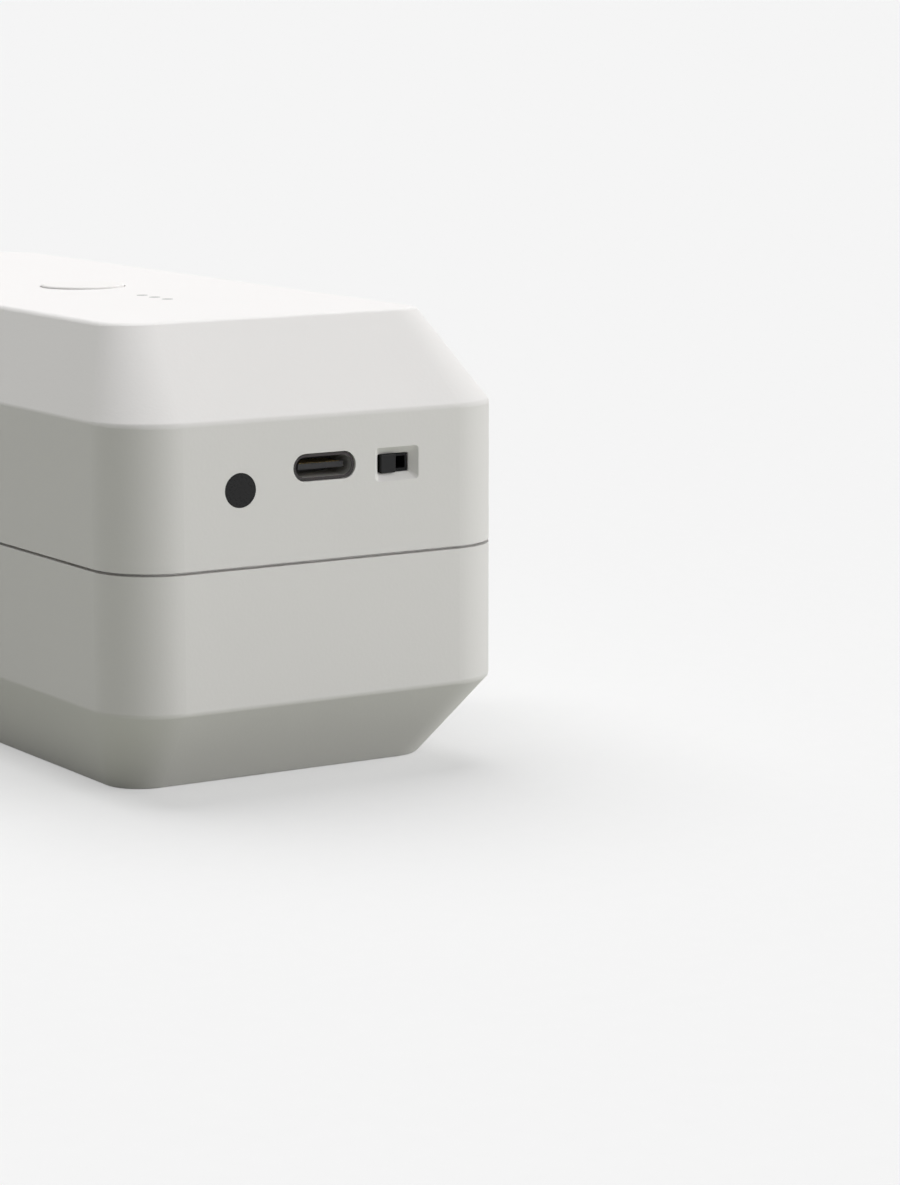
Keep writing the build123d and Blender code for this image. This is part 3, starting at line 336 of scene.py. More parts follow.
# %% Lacquered laminate
TRACK_PITCH = 0.9 * MM
TRACK_WIDTH = 0.38         # as a share of the pitch
board_green, tree, shader, place = start_material("lacquered glass laminate", 0.32)
cells = add_node(
    tree, "ShaderNodeTexVoronoi", {"Vector": place, "Scale": 1 / (9.0 * MM)}, distance="CHEBYCHEV"
)
chance = add_node(tree, "ShaderNodeSeparateXYZ", {"Vector": cells.outputs["Color"]}).outputs["X"]
across = add_node(tree, "ShaderNodeMath", {0: chance, 1: 0.5}, operation="GREATER_THAN")
axes = add_node(tree, "ShaderNodeSeparateXYZ", {"Vector": place})
lane = add_node(tree, "ShaderNodeMix", {"Factor": across, 2: axes.outputs["X"], 3: axes.outputs["Y"]})
phase = add_node(tree, "ShaderNodeMath", {0: lane, 1: TRACK_PITCH}, operation="DIVIDE")
turn = add_node(tree, "ShaderNodeMath", {0: phase}, operation="FRACT")
stripe = add_node(tree, "ShaderNodeMath", {0: turn, 1: TRACK_WIDTH}, operation="LESS_THAN")
region = add_node(tree, "ShaderNodeTexNoise", {"Vector": place, "Scale": 1 / (11.0 * MM), "Detail": 0.0})
routed = add_node(tree, "ShaderNodeMath", {0: region, 1: 0.5}, operation="GREATER_THAN")
copper = add_node(tree, "ShaderNodeMath", {0: stripe, 1: routed}, operation="MULTIPLY")
weave = add_node(tree, "ShaderNodeTexNoise", {"Vector": place, "Scale": 1 / (0.5 * MM)})
raised = add_node(tree, "ShaderNodeMath", {0: copper, 1: 0.5, 2: weave}, operation="MULTIPLY_ADD")
finish_surface(tree, shader, copper, ("#1B4A35", "#2A6B4A"), raised, strength=0.4, depth=0.02 * MM)
dress(board_green, "main_board", "port_board")

# %% [markdown]
# Battery cells
#
# A cell is a nickel-plated can in a sleeve of shrink film. The film stops short of both ends, where
# the bare can shows, so the position along the cell decides between film and metal.

# %% Shrink film and bare ends
low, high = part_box("upper_cell")
cell_middle = (low[0] + high[0]) / 2
BARE_END = 1.6 * MM
film_half = (high[0] - low[0]) / 2 - BARE_END
cell_skin, tree, shader, place = start_material("shrink-wrapped cell", 0.30)
along = add_node(tree, "ShaderNodeSeparateXYZ", {"Vector": place}).outputs["X"]
from_middle = add_node(tree, "ShaderNodeMath", {0: along, 1: cell_middle}, operation="SUBTRACT")
distance = add_node(tree, "ShaderNodeMath", {0: from_middle}, operation="ABSOLUTE")
bare = add_node(tree, "ShaderNodeMath", {0: distance, 1: film_half}, operation="GREATER_THAN")
wrinkles = add_node(tree, "ShaderNodeTexNoise", {"Vector": place, "Scale": 1 / (6.0 * MM), "Detail": 3.0})
film = add_node(tree, "ShaderNodeMix", {"Factor": wrinkles, 6: "#2E6F7A", 7: "#3B8792"}, data_type="RGBA")
set_inputs(tree, shader, {"Metallic": bare})
finish_surface(
    tree, shader, bare, (film.outputs[2], "#C9C7C0"), wrinkles, strength=0.3, depth=0.1 * MM
)
dress(cell_skin, "lower_cell", "upper_cell")

# %% [markdown]
# Running a Geometry Nodes tree once
#
# A tree is a small machine with named knobs. It is put on an object, its knobs are set, and its
# result is then kept as a plain mesh, so that nothing later depends on the tree. A knob is found by
# its label but set by its identifier, because that is what the modifier stores.


# %% Make a tree, run it, keep the mesh
def start_tree(name, **sockets):
    """New Geometry Nodes tree. Returns it with its named inputs."""
    tree = bpy.data.node_groups.new(name, "GeometryNodeTree")
    tree.interface.new_socket("Geometry", in_out="INPUT", socket_type="NodeSocketGeometry")
    tree.interface.new_socket("Geometry", in_out="OUTPUT", socket_type="NodeSocketGeometry")
    for label, kind in sockets.items():
        tree.interface.new_socket(label, in_out="INPUT", socket_type="NodeSocket" + kind)
    return tree, tree.nodes.new("NodeGroupInput").outputs


def end_tree(tree, knobs, shape):
    """Ends a tree: instances become a real mesh, which takes the material that the tree was given."""
    realized = add_node(tree, "GeometryNodeRealizeInstances", {"Geometry": shape})
    painted = add_node(
        tree, "GeometryNodeSetMaterial", {"Geometry": realized, "Material": knobs["Material"]}
    )
    add_node(tree, "NodeGroupOutput", {0: painted})
    return tree


def grow(tree, base=None, **values):
    """Runs a tree on a mesh, or on nothing, and returns the result as a plain mesh."""
    carrier = bpy.data.objects.new(tree.name, base or bpy.data.meshes.new(tree.name))
    scene.collection.objects.link(carrier)
    modifier = carrier.modifiers.new("shape", "NODES")
    modifier.node_group = tree
    for item in tree.interface.items_tree:
        if item.in_out == "INPUT" and item.name in values:
            modifier[item.identifier] = values[item.name]
    depsgraph = bpy.context.evaluated_depsgraph_get()
    mesh = bpy.data.meshes.new_from_object(carrier.evaluated_get(depsgraph), depsgraph=depsgraph)
    bpy.data.objects.remove(carrier)
    return mesh


# %% [markdown]
# Pieces from meshes
#
# A finished piece is one object at the origin with its place in its mesh. It rides on one body and hides
# the solid that it stands for, if any. Several meshes may make one piece, such as a chip's body and its
# legs, so they are joined and their materials are renumbered.


# %% Join meshes into a piece
def new_piece(name, meshes, stands_for=(), body="housing"):
    """One object from one or more meshes, riding on a body and standing for CAD nodes, if any."""
    joined = bmesh.new()
    materials = []
    for mesh in meshes:
        for material in mesh.materials:
            if material not in materials:
                materials.append(material)
        order = [materials.index(material) for material in mesh.materials]
        for polygon in mesh.polygons:
            polygon.material_index = order[polygon.material_index]
        joined.from_mesh(mesh)
    result = bpy.data.meshes.new(name)
    joined.to_mesh(result)
    joined.free()
    for material in materials:
        result.materials.append(material)
    piece = bpy.data.objects.new(name, result)
    scene.collection.objects.link(piece)
    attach(piece, body)
    if stands_for:
        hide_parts(*stands_for)
    print(name, "faces:", len(result.polygons))
    return piece


def finish_mesh(bm, material, crease=35.0):
    """Turns a bmesh into a mesh that faces outwards, smooth but for creases sharper than the angle."""
    bmesh.ops.recalc_face_normals(bm, faces=bm.faces)
    mesh = bpy.data.meshes.new(material.name)
    bm.to_mesh(mesh)
    bm.free()
    for polygon in mesh.polygons:
        polygon.use_smooth = True
    mesh.set_sharp_from_angle(angle=math.radians(crease))
    mesh.materials.append(material)
    return mesh


def moved(mesh, offset):
    """The mesh, shifted."""
    mesh.transform(Matrix.Translation(offset))
    return mesh


# %% [markdown]
# Hanger springs
#
# Each hanger is drawn in by a compression spring with closed ends: its first and last turn lie flat
# so that it sits square. A spiral curve has one steady pitch, so the tree moves its points along the
# axis: they dwell at each end and climb between. Sweeping a round wire along it makes the spring.

# %% Spring tree
tree, knobs = start_tree(
    "compression spring", Radius="Float", Wire="Float", Length="Float", Turns="Float", Dwell="Float",
    Base="Vector", Material="Material",
)
spiral = add_node(
    tree, "GeometryNodeCurveSpiral",
    {
        "Resolution": 48, "Rotations": knobs["Turns"], "Start Radius": knobs["Radius"],
        "End Radius": knobs["Radius"], "Height": 0.0,
    },
)
along = add_node(tree, "GeometryNodeSplineParameter").outputs["Factor"]
last = add_node(tree, "ShaderNodeMath", {0: 1.0, 1: knobs["Dwell"]}, operation="SUBTRACT")
climb = add_node(
    tree, "ShaderNodeMapRange", {"Value": along, "From Min": knobs["Dwell"], "From Max": last},
    interpolation_type="SMOOTHSTEP",
)
free = add_node(tree, "ShaderNodeMath", {0: knobs["Length"], 1: knobs["Wire"]}, operation="SUBTRACT")
half_wire = add_node(tree, "ShaderNodeMath", {0: knobs["Wire"], 1: 0.5}, operation="MULTIPLY")
height = add_node(tree, "ShaderNodeMath", {0: climb, 1: free, 2: half_wire}, operation="MULTIPLY_ADD")
offset = add_node(tree, "ShaderNodeCombineXYZ", {"Z": height})
wound = add_node(tree, "GeometryNodeSetPosition", {"Geometry": spiral, "Offset": offset})
section = add_node(tree, "GeometryNodeCurvePrimitiveCircle", {"Resolution": 12, "Radius": half_wire})
wire = add_node(
    tree, "GeometryNodeCurveToMesh", {"Curve": wound, "Profile Curve": section, "Fill Caps": True}
)
placed = add_node(
    tree, "GeometryNodeTransform",
    {"Geometry": wire, "Translation": knobs["Base"], "Rotation": (-math.pi / 2, 0, 0)},
)
smooth = add_node(tree, "GeometryNodeSetShadeSmooth", {"Geometry": placed})
spring_tree = end_tree(tree, knobs, smooth)

# %% Wind both springs
WIRE = 0.6 * MM
for side in HANGERS:
    low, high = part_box(f"{side}_hanger_spring")
    middle = [(a + b) / 2 for a, b in zip(low, high)]
    coil = grow(
        spring_tree, Radius=(high[0] - low[0] - WIRE) / 2, Wire=WIRE, Length=high[1] - low[1],
        Turns=5.0, Dwell=0.15, Base=(middle[0], low[1], middle[2]), Material=spring_wire,
    )
    spring = new_piece(f"{side}_spring_wire", [coil], [f"{side}_hanger_spring"])
    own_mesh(spring)

# %% [markdown]
# Reading places from the frame
#
# A CAD node may hold several loose solids, such as four screws. Its mesh is a bag of triangles, so a
# copy is merged first, and then each island of joined corners gives one solid's box.


# %% Boxes of loose solids
def solids(node):
    """(lowest corner, highest corner) of each loose solid of a CAD node."""
    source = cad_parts[node]
    copy = bmesh.new()
    copy.from_mesh(source.data)
    copy.transform(source.matrix_world)
    bmesh.ops.remove_doubles(copy, verts=copy.verts, dist=0.001 * MM)
    waiting = set(copy.verts)
    boxes = []
    while waiting:
        island = [waiting.pop()]
        for vertex in island:
            joined = {edge.other_vert(vertex) for edge in vertex.link_edges} & waiting
            waiting -= joined
            island += joined
        low = Vector([min(vertex.co[i] for vertex in island) for i in range(3)])
        high = Vector([max(vertex.co[i] for vertex in island) for i in range(3)])
        boxes.append((low, high))
    copy.free()
    return sorted(boxes, key=lambda box: tuple(round(value, 5) for value in box[0]))


print("case screws found:", len(solids("case_screws")))

# %% [markdown]
# Copies at many places
#
# Screws, rollers, contacts and chip legs are one shape at many places. This tree puts a copy of the
# shape on every corner of a mesh, tilts it, and turns it about its own axis by a random amount up to
# a limit: screws stop where they are tight, and so no two slots line up, while chips get no turn.

# %% Tree of copies
tree, knobs = start_tree(
    "copies", Shape="Object", Tilt="Float", Spin="Float", Seed="Int", Material="Material"
)
shape = add_node(tree, "GeometryNodeObjectInfo", {"Object": knobs["Shape"]})
turn = add_node(
    tree, "FunctionNodeRandomValue", {3: knobs["Spin"], "Seed": knobs["Seed"]}, data_type="FLOAT"
)
aim = add_node(tree, "ShaderNodeCombineXYZ", {"X": knobs["Tilt"], "Z": turn.outputs[1]})
placed = add_node(
    tree, "GeometryNodeInstanceOnPoints",
    {"Points": knobs["Geometry"], "Instance": shape.outputs["Geometry"], "Rotation": aim},
)
copy_tree = end_tree(tree, knobs, placed)


def copies(shape, places, tilt=0.0, spin=0.0, seed=1):
    """Mesh with a copy of a shape, itself a mesh, at every place."""
    points = bpy.data.meshes.new("places")
    points.from_pydata([tuple(place) for place in places], [], [])
    holder = bpy.data.objects.new("shape", shape)
    scene.collection.objects.link(holder)
    mesh = grow(
        copy_tree, points, Shape=holder, Tilt=tilt, Spin=spin, Seed=seed, Material=shape.materials[0]
    )
    bpy.data.objects.remove(holder)
    return mesh


# %% [markdown]
# Turned shapes
#
# Most round pieces come off a lathe or out of a round mould: one outline, spun about an axis. The
# outline is a list of radius and height, and a radius of zero closes the piece at a single point.
# Where both faces of a piece are the same, only the upper half is drawn, and the rest is its mirror
# image.


# %% Lathe
def turned(outline, material, steps=64, crease=35.0):
    """Spins an outline of (radius, height) pairs about Z. A closed outline has its first point last too."""
    bm = bmesh.new()
    rings = []
    for radius, height in outline:
        count = 1 if radius == 0 else steps
        angles = [2 * math.pi * i / steps for i in range(count)]
        rings.append([bm.verts.new((radius * math.cos(a), radius * math.sin(a), height)) for a in angles])
    for ring, following in zip(rings, rings[1:]):
        for i in range(steps):
            corners = [ring[i % len(ring)], ring[(i + 1) % len(ring)]]
            corners += [following[(i + 1) % len(following)], following[i % len(following)]]
            bm.faces.new(dict.fromkeys(corners))
    bmesh.ops.remove_doubles(bm, verts=bm.verts, dist=0.0001 * MM)
    return finish_mesh(bm, material, crease)


def quarter(radius, height, bend, start, steps=4):
    """Points of a rounded corner: a quarter turn of the bend's radius about (radius, height)."""
    angles = [math.radians(start + 90 * i / steps) for i in range(steps + 1)]
    return [(radius + bend * math.cos(a), height + bend * math.sin(a)) for a in angles]


def mirrored(upper):
    """Closed outline from its upper half."""
    return upper + [(radius, -height) for radius, height in reversed(upper) if height] + upper[:1]


# %% [markdown]
# Carving
#
# Some recesses are easiest as one shape cut out of another. A boolean modifier does it, and its
# result is read back as a bmesh, ready for more work. A round hole is cut with a short rod.


# %% Cut one mesh out of another
def carved(blank, cutter):
    """The blank mesh with the cutter mesh cut out of it, as a bmesh."""
    holders = [bpy.data.objects.new(mesh.name, mesh) for mesh in (blank, cutter)]
    for holder in holders:
        scene.collection.objects.link(holder)
    cut = holders[0].modifiers.new("cut", "BOOLEAN")
    cut.operation = "DIFFERENCE"
    cut.use_self = True
    cut.object = holders[1]
    bm = bmesh.new()
    bm.from_mesh(holders[0].evaluated_get(bpy.context.evaluated_depsgraph_get()).to_mesh())
    for holder in holders:
        bpy.data.objects.remove(holder)
    return bm


def drill(radius, steps):
    """Short round rod to cut a hole in sheet steel with."""
    outline = [(0, -1 * MM), (radius, -1 * MM), (radius, 1 * MM), (0, 1 * MM)]
    return turned(outline, shield_steel, steps)


# %% [markdown]
# Screws
#
# Every fastener is a self-tapping screw with a low domed head and a cross recess. The head is turned
# and its recess is carved. The thread is a true helix: two rows of points, one at the root and one at
# the crest, run down by one pitch a turn, and each turn is joined to the next.


# %% Screw shape
RIM_SHARE = 0.35           # height of a head's rim, as a share of its whole height
CROSS_SPAN = 1.2           # length and width of a slot of the cross, in head radii
CROSS_SLOT = 0.26
CUTTER = 1.2               # height of the cross's cutter, in head heights
CUTTER_LIFT = 0.85         # place of its middle, in its own heights
SEGMENTS = 20              # of one turn of the thread
ROOT = 0.75                # radius of the thread's root, as a share of the shank's
ROOT_AT_TIP = 0.45


def screw_shape(head_radius, head_height, shank_radius, length, pitch):
    """Screw with its seat at zero, its head above and its thread below."""
    dome = [
        (head_radius * math.cos(a), head_height * (RIM_SHARE + (1 - RIM_SHARE) * math.sin(a)))
        for a in (math.radians(15 * i) for i in range(6))
    ]
    outline = [(0, 0), (head_radius, 0)] + dome + [(0, head_height)]
    head = turned(outline, screw_steel, steps=32, crease=50)
    cutter = bmesh.new()
    for width, depth in ((CROSS_SPAN, CROSS_SLOT), (CROSS_SLOT, CROSS_SPAN)):
        bmesh.ops.create_cube(
            cutter, size=1.0,
            matrix=Matrix.Diagonal((head_radius * width, head_radius * depth, head_height * CUTTER, 1))
            @ Matrix.Translation((0, 0, CUTTER_LIFT)),
        )
    bm = carved(head, finish_mesh(cutter, screw_steel))
    count = int((length - pitch) / pitch) * SEGMENTS
    rows = []
    for i in range(count + SEGMENTS + 1):
        angle = 2 * math.pi * i / SEGMENTS
        level = -min(pitch * i / SEGMENTS, length)
        taper = min(1.0, (count + SEGMENTS + 1 - i) / (2 * SEGMENTS))
        root = shank_radius * (ROOT_AT_TIP + (ROOT - ROOT_AT_TIP) * taper)
        crest = root + shank_radius * (1 - ROOT) * taper
        rows.append((
            bm.verts.new((root * math.cos(angle), root * math.sin(angle), level)),
            bm.verts.new((crest * math.cos(angle), crest * math.sin(angle), level - 0.5 * pitch)),
        ))
    for i in range(count):
        (root, crest), (next_root, next_crest) = rows[i], rows[i + 1]
        (lower, _), (next_lower, _) = rows[i + SEGMENTS], rows[i + SEGMENTS + 1]
        bm.faces.new((root, next_root, next_crest, crest))
        bm.faces.new((crest, next_crest, next_lower, lower))
    point = bm.verts.new((0, 0, -length))
    for i in range(count, count + SEGMENTS):
        bm.faces.new((rows[i][0], rows[i + 1][0], point))
    return finish_mesh(bm, screw_steel, crease=50)


# %% Screw sets
SMALL = dict(head=1.9, height=1.2, shank=0.90)  # radii and a height in millimetres
SCREWS = {
    "case_screws": dict(head=2.4, height=1.6, shank=1.15, pitch=1.0, points_up=True),
    "cover_screws": dict(SMALL, pitch=0.8, points_up=False),
    "frame_screws": dict(SMALL, pitch=0.8, points_up=False),
    "board_screws": dict(SMALL, pitch=0.7, points_up=True),
    "port_board_screws": dict(SMALL, pitch=0.7, points_up=True),
}
for seed, (node, size) in enumerate(SCREWS.items()):
    height = size["height"] * MM
    groups = {}
    for low, high in solids(node):
        seat = low.z + height if size["points_up"] else high.z - height
        place = ((low.x + high.x) / 2, (low.y + high.y) / 2, seat)
        groups.setdefault(round((high.z - low.z) / MM, 2), []).append(place)
    sets = []
    for total, places in groups.items():
        shape = screw_shape(
            size["head"] * MM, height, size["shank"] * MM, total * MM - height, size["pitch"] * MM
        )
        tilt = math.pi if size["points_up"] else 0.0
        sets.append(copies(shape, places, tilt, spin=math.pi / 2, seed=seed))
    new_piece(node.replace("screws", "screw_set"), sets, [node])

# %% [markdown]
# Tyre
#
# The tyre is moulded in one piece: a band with rounded shoulders, and ribs across it that bite into
# the rail. The band is a turned outline. The ribs are copies of one bar on a circle, turned to face
# outwards. The tree works out how broad a rib is from the circle and the gap between ribs.

# %% Rib tree
tree, knobs = start_tree(
    "ribs", Radius="Float", Count="Int", Gap="Float", Depth="Float", Width="Float", Centre="Vector",
    Material="Material",
)
around = add_node(tree, "ShaderNodeMath", {0: knobs["Radius"], 1: 2 * math.pi}, operation="MULTIPLY")
pitch = add_node(tree, "ShaderNodeMath", {0: around, 1: knobs["Count"]}, operation="DIVIDE")
breadth = add_node(tree, "ShaderNodeMath", {0: pitch, 1: knobs["Gap"]}, operation="SUBTRACT")
double = add_node(tree, "ShaderNodeMath", {0: knobs["Depth"], 1: 2.0}, operation="MULTIPLY")
size = add_node(tree, "ShaderNodeCombineXYZ", {"X": double, "Y": breadth, "Z": knobs["Width"]})
bar = add_node(tree, "GeometryNodeMeshCube", {"Size": size, "Vertices Y": 3, "Vertices Z": 5})
inward = add_node(tree, "ShaderNodeMath", {0: knobs["Radius"], 1: knobs["Depth"]}, operation="SUBTRACT")
ring = add_node(tree, "GeometryNodeMeshCircle", {"Vertices": knobs["Count"], "Radius": inward})
outward = add_node(
    tree, "FunctionNodeAlignRotationToVector",
    {"Vector": add_node(tree, "GeometryNodeInputPosition")}, axis="X",
)
ribs = add_node(
    tree, "GeometryNodeInstanceOnPoints", {"Points": ring, "Instance": bar, "Rotation": outward}
)
placed = add_node(tree, "GeometryNodeTransform", {"Geometry": ribs, "Translation": knobs["Centre"]})
rib_tree = end_tree(tree, knobs, placed)

# %% Band and ribs
low, high = map(Vector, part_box("drive_tyre"))
wheel_centre = (low + high) / 2
TYRE_RADIUS = (high.x - low.x) / 2
RIM_RADIUS = TYRE_RADIUS - 3.0 * MM
RIB_DEPTH = 0.5 * MM
SHOULDER = 0.8 * MM
CORNER_ROOM = 0.03 * MM    # a flat rib's corners reach further out than its middle
half_width = (high.z - low.z) / 2
tread = TYRE_RADIUS - RIB_DEPTH
outline = quarter(tread - SHOULDER, half_width - SHOULDER, SHOULDER, 0) + [(RIM_RADIUS, half_width)]
band = moved(turned(mirrored(outline), tyre_rubber, steps=144), wheel_centre)
ribs = grow(
    rib_tree, Radius=TYRE_RADIUS - CORNER_ROOM, Count=36, Gap=1.2 * MM, Depth=RIB_DEPTH,
    Width=2 * (half_width - 0.5 * SHOULDER), Centre=wheel_centre, Material=tyre_rubber,
)
new_piece("ribbed_tyre", [band, ribs], ["drive_tyre"], body="drive_wheel")

# %% [markdown]
# Ball bearings
#
# The axle runs in two small ball bearings. Their balls hide behind thin steel shields that lie a little
# below the two rings, and it is this step that tells a bearing from a plain bush.

# %% Shielded bearings
AXLE_PLAY = 0.05 * MM      # between the axle and the bore
RING = 0.7 * MM            # breadth of each of the two rings
SUNK = 0.15 * MM           # how far the shield lies below them
EDGE = 0.1 * MM            # chamfer of the outer ring
axle_low, axle_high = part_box("drive_axle")
bore = (axle_high[0] - axle_low[0]) / 2 + AXLE_PLAY
for node in ("lower_bearing", "upper_bearing"):
    low, high = map(Vector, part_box(node))
    outer = (high.x - low.x) / 2
    half = (high.z - low.z) / 2
    shield = [bore + RING + 0.05 * MM, outer - RING - 0.05 * MM]
    outline = [(bore, half), (bore + RING, half), (shield[0], half - SUNK), (shield[1], half - SUNK)]
    outline += [(outer - RING, half), (outer - EDGE, half), (outer, half - EDGE)]
    bearing = moved(turned(mirrored(outline), bearing_steel, steps=48), (low + high) / 2)
    new_piece(node.replace("bearing", "shielded_bearing"), [bearing], [node])

# %% [markdown]
# Rollers
#
# The rollers that run in the rail are crowned, so that they keep to its middle, and hollowed at both
# sides to save plastic. For each axle one outline is spun, and copied to both of its ends.

# %% Crowned rollers
BORE = 1.0 * MM
CROWN = 0.1 * MM           # how far the middle of the tread stands above its edges
BEND = 0.4 * MM            # of the tread's edges
HOLLOW = 0.5 * MM          # depth of the hollow in each side
for side in HANGERS:
    pair = solids(f"{side}_rail_rollers")
    low, high = pair[0]
    outer = (high.x - low.x) / 2
    half = (high.z - low.z) / 2
    outline = [(outer, 0)] + quarter(outer - CROWN - BEND, half - BEND, BEND, 0)
    outline += [(3.4 * MM, half), (3.2 * MM, half - HOLLOW), (2.2 * MM, half - HOLLOW)]
    outline += [(2.0 * MM, half), (BORE, half)]
    roller = turned(mirrored(outline), roller_acetal, steps=48)
    wheels = copies(roller, [(low + high) / 2 for low, high in pair])
    new_piece(
        f"{side}_crowned_rollers", [wheels], [f"{side}_rail_rollers"],
        body=f"{side}_rollers",
    )

# %% [markdown]
# Charging port contacts
#
# The tongue in the port carries a row of gold-plated strips on each face, half a millimetre apart.
# They catch the light that falls into the opening, which is what makes a port look real.

# %% Gold strips
contact_gold = grained("gold-plated copper", "#C9B077", 0.30, 0.10, 0.002, drift=0.05, metallic=1.0)
low, high = map(Vector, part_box("usb_tongue"))
middle = (low + high) / 2
STRIP = Vector((3.6, 0.26, 0.05)) * MM
STRIPS = 12                # on each face of the tongue
STRIP_PITCH = 0.5 * MM
LIP = 0.5 * MM             # bare plastic before the strips
TONGUE_HALF = 0.35 * MM


def bar_shape(size, material, bevel=0.0):
    """Rectangular bar centred on the origin, with bevelled edges."""
    bm = bmesh.new()
    bmesh.ops.create_cube(bm, size=1.0, matrix=Matrix.Diagonal((*size, 1)))
    if bevel:
        bmesh.ops.bevel(bm, geom=list(bm.edges), offset=bevel, segments=2, affect="EDGES")
    return finish_mesh(bm, material)


strip = bar_shape(STRIP, contact_gold)
start_y = middle.y - (STRIPS - 1) / 2 * STRIP_PITCH
places = [
    (high.x - LIP - STRIP.x / 2, start_y + i * STRIP_PITCH, middle.z + face * TONGUE_HALF)
    for i in range(STRIPS) for face in (-1, 1)
]
new_piece("port_contacts", [copies(strip, places)])

# %% [markdown]
# Battery cells
#
# A cell's can is crimped just below its raised terminal, and the film is shrunk into that groove. The
# outline is spun upright, and the can is then laid down, one way for each of the two cells.

# %% Crimped cells
NUB = 3.0 * MM             # radius of the raised terminal
CRIMP = 0.6 * MM           # depth of the groove below it
for node, facing in (("lower_cell", 1), ("upper_cell", -1)):
    low, high = map(Vector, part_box(node))
    outer = (high.z - low.z) / 2
    length = high.x - low.x
    outline = [(0, 0), (outer - 1.4 * MM, 0), (outer - 1.3 * MM, 0.15 * MM), (outer - 0.8 * MM, 0.15 * MM)]
    outline += quarter(outer - 0.7 * MM, 0.7 * MM, 0.7 * MM, -90)
    outline += [(outer, length - 5.0 * MM), (outer - CRIMP, length - 4.3 * MM)]
    outline += [(outer - CRIMP, length - 3.9 * MM), (outer, length - 3.3 * MM)]
    outline += quarter(outer - 0.6 * MM, length - 1.4 * MM, 0.6 * MM, 0)
    outline += [(outer - 1.6 * MM, length - 0.8 * MM), (outer - 1.7 * MM, length - 1.2 * MM)]
    outline += [(NUB + 0.6 * MM, length - 1.2 * MM), (NUB, length - 0.2 * MM)]
    outline += [(NUB - 0.2 * MM, length), (0, length)]
    can = turned(outline, cell_skin)
    spin = Matrix.Rotation(facing * math.pi / 2, 4, "Y")
    start = Vector((low.x if facing > 0 else high.x, (low.y + high.y) / 2, (low.z + high.z) / 2))
    can.transform(Matrix.Translation(start) @ spin)
    new_piece(node.replace("cell", "crimped_cell"), [can], [node])

# %% [markdown]
# Motor
#
# The motor's can is drawn steel with a rolled rim. Its plastic end carries the bearing and two tabs for
# soldering. Cooling slots would let dust in, so this kind has none.

# %% Can, end bell and tabs
low, high = map(Vector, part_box("motor_can"))
axis = Vector(((low.x + high.x) / 2, (low.y + high.y) / 2, low.z))
outer = (high.x - low.x) / 2
TOP = 16.5 * MM            # height of the can, without the bearing's boss and the tabs
GROOVE = 0.25 * MM         # depth of the rolled groove
outline = [(0, 0), (outer, 0), (outer, TOP - 3.2 * MM), (outer - GROOVE, TOP - 3.0 * MM)]
outline += [(outer - GROOVE, TOP - 2.6 * MM), (outer, TOP - 2.4 * MM)]
outline += quarter(outer - 1.0 * MM, TOP - 1.0 * MM, 1.0 * MM, 0) + [(outer - 1.6 * MM, TOP)]
outline += [(outer - 1.8 * MM, TOP - 0.4 * MM), (0, TOP - 0.4 * MM)]
can = turned(outline, can_steel)
outline = [(0, TOP - 0.5 * MM), (outer - 2.0 * MM, TOP - 0.5 * MM), (outer - 2.2 * MM, TOP - 0.1 * MM)]
outline += [(3.2 * MM, TOP - 0.1 * MM), (3.0 * MM, TOP + 0.8 * MM), (0, TOP + 0.8 * MM)]
bell = turned(outline, tray_abs)
TAB = Vector((2.0, 0.5, 2.6)) * MM
tab = bar_shape(TAB, contact_nickel, bevel=0.08 * MM)
tabs = copies(tab, [(0, side * 6.0 * MM, high.z - low.z - TAB.z / 2) for side in (-1, 1)])
parts = [moved(mesh, axis) for mesh in (can, bell, tabs)]
new_piece("motor_body", parts, ["motor_can"])

# %% [markdown]
# Parts on the boards
#
# A board without parts looks like a toy. Chips, coils, capacitors and resistors stand where they keep
# clear of the button, the lights, the radio and the posts. Each kind is one body with metal ends or
# legs, copied to its places. Metal that is taller than its body, such as a cap, is centred on it.
# Spots are in millimetres, counted from a board's far blank corner.

# %% Finishes on the boards
chip_epoxy = grained("moulded black epoxy", "#1C1D1F", 0.45, 0.25, 0.010, drift=0.06)
coil_ferrite = grained("pressed ferrite", "#3A3B3E", 0.55, 0.30, 0.020, drift=0.10)
cap_ceramic = grained("fired ceramic", "#A98A66", 0.40, 0.30, 0.008, drift=0.08)
resistor_glaze = grained("glazed ceramic", "#202226", 0.25, 0.30, 0.004, drift=0.05)
solder_tin = grained("soldered tin", "#C8CACC", 0.28, 0.25, 0.010, drift=0.05, metallic=1.0)


# %% A body with metal on it
def mounted(places, up, size, material, metal_size, offsets, bevel, metal_bevel=0.0):
    """Bodies that stand on a board, with metal legs or ends at offsets from each. up is 1 or -1."""
    body = bar_shape(Vector(size) * MM, material, bevel * MM)
    metal = bar_shape(Vector(metal_size) * MM, solder_tin, metal_bevel * MM)
    centre = up * size[2] / 2 * MM
    metal_centre = up * min(size[2], metal_size[2]) / 2 * MM
    bodies = [(x, y, z + centre) for x, y, z in places]
    ends = [(x + a * MM, y + b * MM, z + metal_centre) for x, y, z in places for a, b in offsets]
    return [copies(body, bodies), copies(metal, ends)]


# %% Kinds of parts, in millimetres
LEG = (0.22, 0.22, 0.25)
LEG_FREE = 0.8             # length without legs at each corner of a chip
CAP_LENGTH = 0.35          # of a metal cap
CAP_WALL = 0.02            # of its sheet


